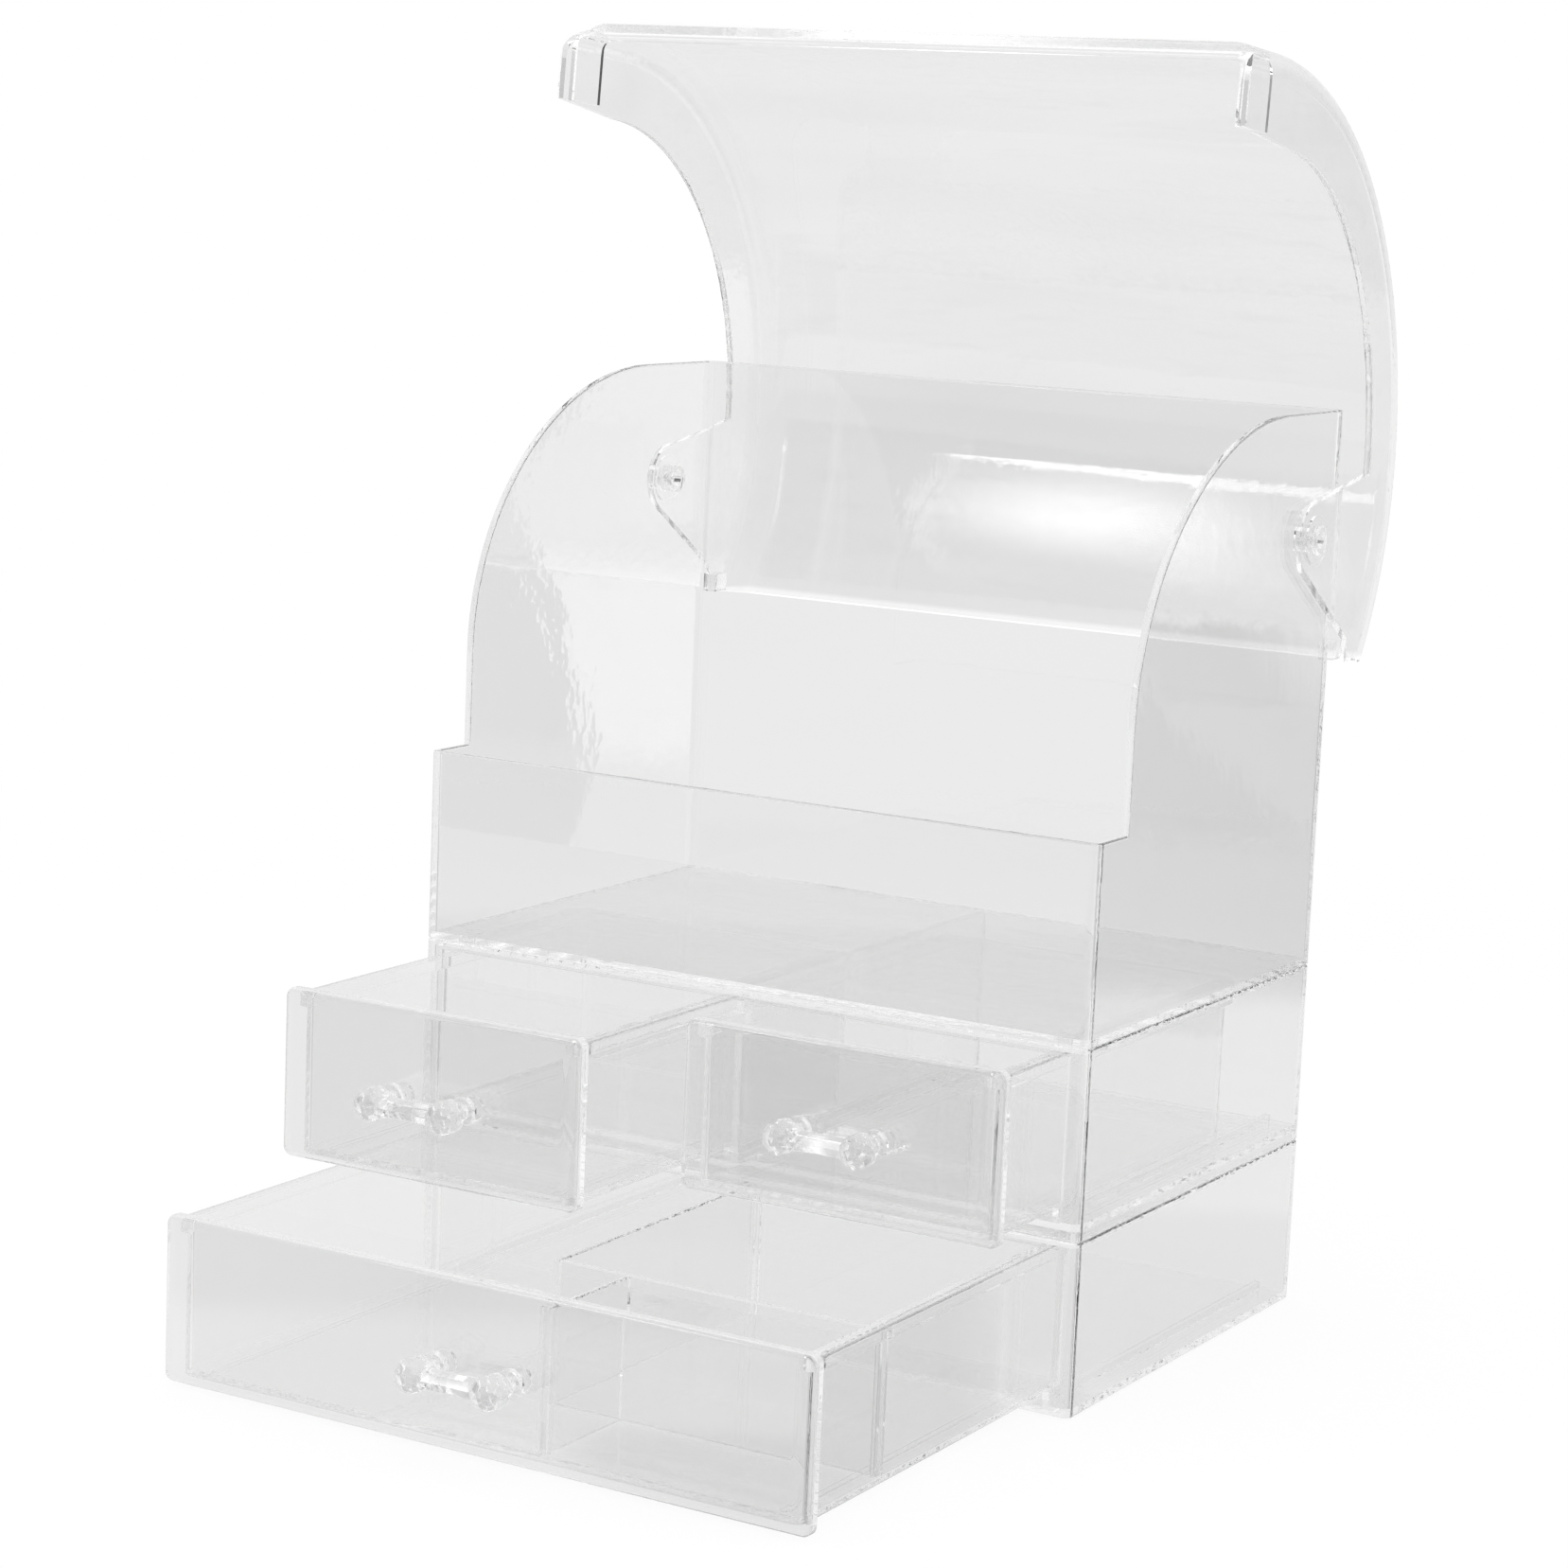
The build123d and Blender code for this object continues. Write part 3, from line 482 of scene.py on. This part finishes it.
def pin_stations(cap_in, head_under, head_out):
    return (
        (cap_in, 0.76, 0), (cap_in + 0.4, 0.89, 0), (-0.11, 0.90, 0), (-0.10, 0.49, 0),
        (head_under - 0.01, 0.49, 0), (head_under, 0.95, 0), (head_out - 0.5, 0.96, 0),
        (head_out - 0.1, 0.86, 0), (head_out, 0.76, 0), (head_out - 0.01, 0.62, 0),
    )


pin_low, pin_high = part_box("hinge_pins")
cap_low, cap_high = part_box("pin_caps")
wall_inner = cap_high[0] + FILM
head_out = (pin_high[0] - wall_inner) / MM
pin_tree, given, made = new_tree(
    "hinge pin",
    (
        ("Place", "NodeSocketVector", None),
        ("Wall Inner", "NodeSocketFloat", wall_inner),
        ("Unit Radius", "NodeSocketFloat", 5.0 * MM),
        ("Plastic", "NodeSocketMaterial", None),
    ),
)
stations = pin_stations(CAP_IN, head_out - HEAD_THICK, head_out)
shape = swept_body(pin_tree, stations, POST_SIDES, given.outputs["Unit Radius"], "X")
offset = pin_tree.nodes.new("ShaderNodeCombineXYZ")
pin_tree.links.new(given.outputs["Wall Inner"], offset.inputs["X"])
right_pin = in_plastic(pin_tree, move(pin_tree, shape, offset.outputs[0]), given)
turn = pin_tree.nodes.new("GeometryNodeTransform")
turn.inputs["Rotation"].default_value = (0.0, 0.0, math.pi)
pin_tree.links.new(right_pin, turn.inputs["Geometry"])
pair = pin_tree.nodes.new("GeometryNodeJoinGeometry")
pin_tree.links.new(right_pin, pair.inputs[0])
pin_tree.links.new(turn.outputs[0], pair.inputs[0])
close_tree(pin_tree, pair.outputs[0], given, made)
print("pin tree:", len(pin_tree.nodes), "nodes")

# %% Both pins, with their caps
pins = made_by(
    pin_tree,
    "turned_pins",
    place=(0.0, (pin_low[1] + pin_high[1]) / 2, (pin_low[2] + pin_high[2]) / 2),
    plastic=finishes["clear_hardware"],
)
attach(pins, "case")
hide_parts("hinge_pins", "pin_caps")

# %% [markdown]
# ## What the plastic sees
# A clear object has no colour of its own: it shows the room. The room here is a white one,
# a touch greyer behind the box than around it. What a single wall mirrors is less even.
# The air is bright overhead and dim in front of the box, and the floor has stretches of
# painted shade and painted light. Thick edges, which throw the light about inside them,
# gather it from everywhere. One could build a whole studio of screens round the box for
# this, but they would also show through it.
#
# Light Path tells these apart without knowing where the camera is. Glossy Depth is 0 for
# light that only came through, 1 for light mirrored once, and 2 or more for light that
# was thrown about in an edge. Transmission Depth counts the faces that the light went
# through. Where it is above 0, the mirrored level is kept above a dimmest one, or every
# thin edge would draw a black line. Choosing the level in one small group keeps the floor
# and the air alike, so that no seam shows where they meet.

# %% One group that chooses the level
SEEN_THROUGH = 0.868
IN_EDGES = 0.89
DIMMEST_INSIDE = 0.56
MORE_THAN_NONE = 0.5
MORE_THAN_ONE = 1.5


def choose(tree, factor, low, high):
    node = tree.nodes.new("ShaderNodeMix")
    for place, value in ((0, factor), (2, low), (3, high)):
        plug(tree, node.inputs[place], value)
    return node.outputs[0]


room_levels, given, made = new_group(
    "room levels",
    (
        ("Seen Through", "NodeSocketFloat", SEEN_THROUGH),
        ("Mirrored", "NodeSocketFloat", None),
        ("In Edges", "NodeSocketFloat", IN_EDGES),
        ("Dimmest Inside", "NodeSocketFloat", DIMMEST_INSIDE),
        ("Glossy Depth", "NodeSocketFloat", None),
        ("Transmission Depth", "NodeSocketFloat", None),
    ),
    (("Level", "NodeSocketFloat"),),
)
mirrors, faces = given.outputs["Glossy Depth"], given.outputs["Transmission Depth"]
mirrored_once = add_math(room_levels, "GREATER_THAN", mirrors, MORE_THAN_NONE)
thrown_about = add_math(room_levels, "GREATER_THAN", mirrors, MORE_THAN_ONE)
from_inside = add_math(room_levels, "GREATER_THAN", faces, MORE_THAN_NONE)
lifted = add_math(room_levels, "MAXIMUM", given.outputs["Mirrored"], given.outputs["Dimmest Inside"])
level = choose(room_levels, from_inside, given.outputs["Mirrored"], lifted)
level = choose(room_levels, mirrored_once, given.outputs["Seen Through"], level)
level = choose(room_levels, thrown_about, level, given.outputs["In Edges"])
room_levels.links.new(level, made.inputs["Level"])
print("room levels:", len(room_levels.nodes), "nodes")


# %% A material's level, white for the camera, and which rays see it
def seen_level(tree, **levels_of):
    path = tree.nodes.new("ShaderNodeLightPath")
    levels = tree.nodes.new("ShaderNodeGroup")
    levels.node_tree = room_levels
    for label, value in levels_of.items():
        tree.links.new(value, levels.inputs[label.replace("_", " ").title()])
    for label in ("Glossy Depth", "Transmission Depth"):
        tree.links.new(path.outputs[label], levels.inputs[label])
    indirect = add_math(
        tree, "MAXIMUM", path.outputs["Is Glossy Ray"], path.outputs["Is Transmission Ray"]
    )
    direct = path.outputs["Is Camera Ray"]
    level = choose(tree, direct, add_math(tree, "MULTIPLY", levels.outputs[0], indirect), 1.0)
    return level, add_math(tree, "MAXIMUM", direct, indirect)


# %% [markdown]
# The air is a sky whose level depends on the direction alone. The spans below are values
# of the direction's own X, Y and Z, which run from -1 to 1: the air goes from dim to
# bright as the direction turns from the front to the back, is a little dimmer at the
# right, and is bright overhead. Edges see a second sky, dark low down and bright high up,
# which gives a clear edge its dark and white lines.

# %% The air
DIM_FRONT = 0.0
DIM_RIGHT = 0.70
BEHIND = 0.86
OVERHEAD = 1.05
FRONT_TO_BACK = (-0.35, 0.20)
WELL_BEHIND = (0.2, 0.6)
TO_THE_RIGHT = (0.10, 0.35)
RISING = (0.45, 0.85)
EDGE_LOW = 0.64
EDGE_HIGH = 1.08
EDGE_RISING = (-0.05, 0.55)
UNSEEN_AIR = 0.75

room = bpy.data.worlds.new("white room")
bpy.context.scene.world = room
room.use_nodes = True
tree = room.node_tree
tree.nodes.clear()
direction = tree.nodes.new("ShaderNodeTexCoord")
parts = tree.nodes.new("ShaderNodeSeparateXYZ")
tree.links.new(direction.outputs["Generated"], parts.inputs[0])
front_to_back = ramp(tree, parts.outputs["Y"], *FRONT_TO_BACK, DIM_FRONT, BEHIND)
well_behind = ramp(tree, parts.outputs["Y"], *WELL_BEHIND)
right_hand = add_math(tree, "MULTIPLY", parts.outputs["X"], well_behind)
low_right = choose(tree, ramp(tree, right_hand, *TO_THE_RIGHT), front_to_back, DIM_RIGHT)
mirrored = choose(tree, ramp(tree, parts.outputs["Z"], *RISING), low_right, OVERHEAD)
in_edges = ramp(tree, parts.outputs["Z"], *EDGE_RISING, EDGE_LOW, EDGE_HIGH)
level, seen = seen_level(tree, mirrored=mirrored, in_edges=in_edges)
unseen = add_math(tree, "MULTIPLY", add_math(tree, "SUBTRACT", 1.0, seen), UNSEEN_AIR)
air = tree.nodes.new("ShaderNodeBackground")
air.inputs["Color"].default_value = grey(1.0)
tree.links.new(add_math(tree, "ADD", level, unseen), air.inputs["Strength"])
out = tree.nodes.new("ShaderNodeOutputWorld")
tree.links.new(air.outputs[0], out.inputs["Surface"])
print("air:", len(tree.nodes), "nodes")

# %% [markdown]
# ## The floor
# A wall that mirrors the floor shows the part of it that lies as far beyond the wall as
# the sight line needs to come down, so each stretch of painted shade and painted light on
# the floor gives one wall its tone.
# The stretches are laid out along the photograph's own bearing: away from the camera, and
# across to the right, in metres from the middle of the box. Each has its two spans, how
# soft its border is, and its level. The camera itself sees a white floor, with the soft
# shadow that the lamps leave round the box.

# %% Stretches of painted shade and painted light on the floor, from under the box outwards
OPEN_FLOOR = 0.90
BEARING = math.radians(30.5)
ALL = 9.0
UNDER_AND_BEHIND = ((-0.36, ALL), (-ALL, ALL), 0.06, 0.92)
SMALL_FRONTS = ((-0.70, -0.36), (-ALL, ALL), 0.06, 0.34)
FAR_IN_FRONT = ((-ALL, -2.40), (-ALL, ALL), 0.40, 0.05)
LOWEST_CASING_SIDE = ((0.05, 0.22), (-0.20, 0.13), 0.03, 0.74)
MIDDLE_CASING_SIDE = ((0.30, 0.60), (-0.20, 0.35), 0.05, 0.90)
LARGE_DRAWER_SIDE = ((-0.20, 0.22), (0.16, 0.40), 0.03, 0.15)
TRAY_BOX_SIDE = ((0.66, 1.95), (-0.10, 0.60), 0.10, 0.17)
TRAY_BOX_SIDE_HIGH = ((1.55, 1.95), (-0.09, -0.03), 0.03, 0.00)
LIT_FAR_BEHIND = ((2.40, ALL), (-0.03, 0.50), 0.25, 1.45)
FRONT_OF_THE_CURVE = ((2.00, 3.60), (0.05, 0.60), 0.10, 1.00)
STRETCHES = (
    UNDER_AND_BEHIND, SMALL_FRONTS, FAR_IN_FRONT, LOWEST_CASING_SIDE, MIDDLE_CASING_SIDE,
    LARGE_DRAWER_SIDE, TRAY_BOX_SIDE, TRAY_BOX_SIDE_HIGH, LIT_FAR_BEHIND, FRONT_OF_THE_CURVE,
)


def band(tree, value, start, end, blur):
    rising = ramp(tree, value, start - blur, start)
    return add_math(tree, "MULTIPLY", rising, ramp(tree, value, end, end + blur, 1.0, 0.0))


# %% The floor's sheet, and its directions away and across
FLOOR_REACH = 9.0
FLOOR_DROP = 0.5 * MM


def flat_sheet(name, half_x, half_y):
    mesh = bpy.data.meshes.new(name)
    corners = ((-1, -1), (1, -1), (1, 1), (-1, 1))
    mesh.from_pydata([(x * half_x, y * half_y, 0.0) for x, y in corners], [], [(0, 1, 2, 3)])
    sheet = bpy.data.objects.new(name, mesh)
    bpy.context.scene.collection.objects.link(sheet)
    return sheet


def blank_material(name):
    material = bpy.data.materials.new(name)
    material.use_nodes = True
    material.node_tree.nodes.clear()
    return material, material.node_tree, material.node_tree.nodes.new("ShaderNodeTexCoord")


floor = flat_sheet("floor", FLOOR_REACH, FLOOR_REACH)
floor.location.z = -FLOOR_DROP
paint, tree, place = blank_material("pale floor")
turned = tree.nodes.new("ShaderNodeMapping")
turned.inputs["Rotation"].default_value = (0.0, 0.0, BEARING)
tree.links.new(place.outputs["Object"], turned.inputs["Vector"])
by_bearing = tree.nodes.new("ShaderNodeSeparateXYZ")
tree.links.new(turned.outputs[0], by_bearing.inputs[0])
away, across = by_bearing.outputs["Y"], by_bearing.outputs["X"]
# Each stretch's level is painted shade (below OPEN_FLOOR) or painted light (above it), seen only in
# reflections and through the walls
level = OPEN_FLOOR
for away_span, across_span, blur, stretch in STRETCHES:
    on_stretch = add_math(
        tree, "MULTIPLY", band(tree, away, *away_span, blur), band(tree, across, *across_span, blur)
    )
    level = choose(tree, on_stretch, level, stretch)
print("stretches of floor:", len(STRETCHES))

# %% [markdown]
# The wall on the left mirrors the floor far behind the box, and there a stretch of painted
# shade and a stretch of painted light meet in a line that bends like a bow. The right side
# of the box mirrors the same floor but doesn't show the bow. What the left wall mirrors has
# gone through two sheets, which is four faces, so a Transmission Depth of 4 picks it out.

# %% The painted bow of shade and light that the left wall mirrors
TWO_SHEETS = 4.0
BOW_FROM = 0.52
BOW_FROM_BLUR = 0.02
BOW_ACROSS = (-0.130, 0.30)
BOW_ACROSS_BLUR = 0.008
BOW_NEAR_END = -0.061
BOW_BENDS = (0.55, 3.0, -0.070, 0.119)
BOW_BLUR = 0.003
SHADE_BLUR = 0.012
GLARE_LOW, GLARE_MIDDLE, GLARE_HIGH = 1.30, 2.35, 1.10
GLARE_RISES = (0.88, 1.05)
GLARE_FALLS = (1.80, 2.15)
SHADE_STARTS = (0.94, 1.10)
DIMMEST_SHADE = 0.05

path = tree.nodes.new("ShaderNodeLightPath")
two_sheets = add_math(tree, "COMPARE", path.outputs["Transmission Depth"], TWO_SHEETS)
beyond = band(tree, away, BOW_FROM, ALL, BOW_FROM_BLUR)
bow = add_math(tree, "MAXIMUM", ramp(tree, away, *BOW_BENDS), BOW_NEAR_END)
past_bow = add_math(tree, "SUBTRACT", across, bow)
glare = add_math(
    tree,
    "MINIMUM",
    ramp(tree, away, *GLARE_RISES, GLARE_LOW, GLARE_MIDDLE),
    ramp(tree, away, *GLARE_FALLS, GLARE_MIDDLE, GLARE_HIGH),
)
# Painted light on one side of the bow, and painted shade on the other
lit = add_math(tree, "MULTIPLY", glare, ramp(tree, past_bow, -BOW_BLUR, BOW_BLUR, 1.0, 0.0))
in_left_wall = add_math(
    tree, "MULTIPLY", beyond, band(tree, across, *BOW_ACROSS, BOW_ACROSS_BLUR)
)
level = choose(tree, add_math(tree, "MULTIPLY", in_left_wall, two_sheets), level, lit)
shaded = add_math(tree, "MULTIPLY", beyond, ramp(tree, past_bow, -SHADE_BLUR, SHADE_BLUR))
shaded = add_math(
    tree, "MULTIPLY", shaded, add_math(tree, "MAXIMUM", two_sheets, ramp(tree, away, *SHADE_STARTS))
)
dimmest = choose(tree, shaded, DIMMEST_INSIDE, DIMMEST_SHADE)

# %% The floor's paint: matt under the lamps, with its own light further out
FLOOR_GREY = 0.86
OWN_LIGHT_FROM = 0.40
OWN_LIGHT_TO = 1.0
OWN_LIGHT_NEAR = 0.90

level, seen = seen_level(tree, mirrored=level, dimmest_inside=dimmest)
distance = tree.nodes.new("ShaderNodeVectorMath")
distance.operation = "LENGTH"
tree.links.new(place.outputs["Object"], distance.inputs[0])
own_light = ramp(tree, distance.outputs["Value"], OWN_LIGHT_FROM, OWN_LIGHT_TO, OWN_LIGHT_NEAR, 1.0)
matt = tree.nodes.new("ShaderNodeBsdfDiffuse")
matt.inputs["Color"].default_value = grey(FLOOR_GREY)
glow = tree.nodes.new("ShaderNodeEmission")
tree.links.new(level, glow.inputs["Strength"])
share = tree.nodes.new("ShaderNodeMixShader")
tree.links.new(add_math(tree, "MULTIPLY", seen, own_light), share.inputs["Fac"])
tree.links.new(matt.outputs[0], share.inputs[1])
tree.links.new(glow.outputs[0], share.inputs[2])
out = tree.nodes.new("ShaderNodeOutputMaterial")
tree.links.new(share.outputs[0], out.inputs["Surface"])
floor.data.materials.append(paint)
print("floor:", len(tree.nodes), "nodes")

# %% [markdown]
# ## Soft lamps
# Three large lamps light the floor and give the box its faint shadow. They are kept out of
# reflections, because a small bright shape in a thick clear edge turns into sparks.

# %% Three soft lamps
LAMPS_AIM = Vector((0.0, 0.0, 0.18))


def soft_lamp(name, at, size, power):
    lamp = bpy.data.lights.new(name, "AREA")
    lamp.shape = "RECTANGLE"
    lamp.size, lamp.size_y = size
    lamp.energy = power
    stand = bpy.data.objects.new(name, lamp)
    bpy.context.scene.collection.objects.link(stand)
    stand.location = at
    stand.rotation_euler = (LAMPS_AIM - Vector(at)).to_track_quat("-Z", "Y").to_euler()
    stand.visible_glossy = False
    stand.visible_transmission = False
    print(name, power, "W")


soft_lamp("overhead lamp", (0.0, -0.2, 1.6), (1.2, 1.0), 12.0)
soft_lamp("left lamp", (-1.5, -0.6, 0.7), (0.5, 1.2), 6.0)
soft_lamp("right lamp", (1.6, 0.4, 0.8), (0.5, 1.2), 6.0)

# %% [markdown]
# ## The tall screen whose reflection curls in the lid
# A lamp with hard edges would leave a hard patch in the lid. A tall screen that glows most
# in its middle and fades towards its rim gives the soft oval that curved plastic shows,
# and its bright lower frame gives the line above the oval. It is a flat sheet that shines
# only into light mirrored once, and is clear to everything else.

# %% The screen's place
SCREEN_PLACE = Vector((-0.66, -1.12, 0.80))
SCREEN_AIM = Vector((0.0, 0.12, 0.25))
SCREEN_LEAN = math.radians(-11)
SCREEN_HALF = (0.34, 0.55)

screen = flat_sheet("tall screen", *SCREEN_HALF)
screen.location = SCREEN_PLACE
facing = (SCREEN_AIM - SCREEN_PLACE).to_track_quat("Z", "Y")
screen.rotation_euler = (facing @ Quaternion((0.0, 0.0, 1.0), SCREEN_LEAN)).to_euler()
screen.visible_camera = False
screen.visible_diffuse = False
screen.visible_shadow = False

# %% How its cloth glows: a heart, a faint ground and a frame
HEART_HALF = (0.17, 0.42, 1.0)
HEART_PLACE = (-0.002, -0.085, 0.0)
HEART_RIM = 0.95
HEART_GLOW = 4.9
CLOTH_GLOW = 0.50
FRAME_GLOW = 4.6
FRAME_WIDTH = 0.024
FRAME_BLUR = 0.008
LEFT_FRAME_SHARE = 0.22
FOOT = -0.388
LEFT_SIDE = 0.128
RIM_BLUR = 0.006
RIGHT_FADE = (-0.30, -0.10)
TOP_FADE = (0.10, 0.50)

cloth, tree, place = blank_material("glowing screen")
on_screen = tree.nodes.new("ShaderNodeSeparateXYZ")
tree.links.new(place.outputs["Object"], on_screen.inputs[0])
sideways, upwards = on_screen.outputs["X"], on_screen.outputs["Y"]
scaled = tree.nodes.new("ShaderNodeMapping")
scaled.vector_type = "TEXTURE"
scaled.inputs["Location"].default_value = HEART_PLACE
scaled.inputs["Scale"].default_value = HEART_HALF
tree.links.new(place.outputs["Object"], scaled.inputs["Vector"])
from_heart = tree.nodes.new("ShaderNodeVectorMath")
from_heart.operation = "LENGTH"
tree.links.new(scaled.outputs[0], from_heart.inputs[0])
heart = ramp(tree, from_heart.outputs["Value"], 0.0, HEART_RIM, HEART_GLOW, 0.0)
left_rim = ramp(tree, sideways, LEFT_SIDE, LEFT_SIDE + RIM_BLUR, 1.0, 0.0)
sides = add_math(tree, "MULTIPLY", ramp(tree, sideways, *RIGHT_FADE), left_rim)
foot_rim = ramp(tree, upwards, FOOT - RIM_BLUR, FOOT)
ends = add_math(tree, "MULTIPLY", foot_rim, ramp(tree, upwards, *TOP_FADE, 1.0, 0.0))
low_frame = band(tree, upwards, FOOT, FOOT + FRAME_WIDTH, FRAME_BLUR)
left_frame = band(tree, sideways, LEFT_SIDE - FRAME_WIDTH / 2, LEFT_SIDE, FRAME_BLUR / 2)
left_frame = add_math(tree, "MULTIPLY", left_frame, LEFT_FRAME_SHARE)
frame_glow = add_math(tree, "MULTIPLY", add_math(tree, "MAXIMUM", low_frame, left_frame), FRAME_GLOW)
glowing = add_math(tree, "ADD", add_math(tree, "ADD", heart, CLOTH_GLOW), frame_glow)
glowing = add_math(tree, "MULTIPLY", glowing, add_math(tree, "MULTIPLY", sides, ends))

# %% The cloth shines only into light mirrored once
glow = tree.nodes.new("ShaderNodeEmission")
tree.links.new(glowing, glow.inputs["Strength"])
path = tree.nodes.new("ShaderNodeLightPath")
once = add_math(tree, "COMPARE", path.outputs["Glossy Depth"], 1.0)
unlit = tree.nodes.new("ShaderNodeBsdfTransparent")
either = tree.nodes.new("ShaderNodeMixShader")
tree.links.new(once, either.inputs["Fac"])
tree.links.new(unlit.outputs[0], either.inputs[1])
tree.links.new(glow.outputs[0], either.inputs[2])
out = tree.nodes.new("ShaderNodeOutputMaterial")
tree.links.new(either.outputs[0], out.inputs["Surface"])
screen.data.materials.append(cloth)
print("screen:", len(tree.nodes), "nodes")

# %% [markdown]
# ## Light that goes through many walls
# A ray that enters a front panel may cross twenty faces before it leaves the box. Each
# crossing counts as a bounce, and a ray that runs out of bounces comes back black, so
# the limits are raised until the deepest stack of walls is clear.

# %% Bounces
MOST_BOUNCES = 128
MOST_CLEAR_LAYERS = 32
scene = bpy.context.scene
scene.cycles.max_bounces = MOST_BOUNCES
scene.cycles.transmission_bounces = MOST_BOUNCES
scene.cycles.glossy_bounces = MOST_BOUNCES
scene.cycles.transparent_max_bounces = MOST_CLEAR_LAYERS
scene.view_settings.view_transform = "Standard"
print("bounces:", scene.cycles.max_bounces)

# %% [markdown]
# ## The camera
# The photograph was taken with a long lens from the box's front right, a little above
# it, with the camera leaning over by a couple of degrees. The place, the lens and the
# lean were worked out from the box's own corners, so the camera is set from numbers and
# not aimed by eye.

# %% Camera at the photograph's viewing angle
EYE = Vector((0.624, -1.118, 0.379))
AZIMUTH = math.radians(30.53)
ELEVATION = math.radians(9.41)
LEAN = math.radians(2.40)
FOCAL_PIXELS = 4238.0
SENSOR_WIDTH = 36.0
NEAREST = 0.05
ahead = Vector((
    -math.sin(AZIMUTH) * math.cos(ELEVATION),
    math.cos(AZIMUTH) * math.cos(ELEVATION),
    -math.sin(ELEVATION),
))
level_right = Vector((math.cos(AZIMUTH), math.sin(AZIMUTH), 0.0))
level_up = level_right.cross(ahead)
right = math.cos(LEAN) * level_right + math.sin(LEAN) * level_up
up = -math.sin(LEAN) * level_right + math.cos(LEAN) * level_up
lens = bpy.data.cameras.new("photo camera")
lens.sensor_width = SENSOR_WIDTH
lens.lens = FOCAL_PIXELS / IMAGE_SIDE * SENSOR_WIDTH
lens.clip_start = NEAREST
camera = bpy.data.objects.new("photo camera", lens)
scene.collection.objects.link(camera)
camera.matrix_world = Matrix((
    (right.x, up.x, -ahead.x, EYE.x),
    (right.y, up.y, -ahead.y, EYE.y),
    (right.z, up.z, -ahead.z, EYE.z),
    (0.0, 0.0, 0.0, 1.0),
))
scene.camera = camera
print("lens", round(lens.lens, 2), "mm")
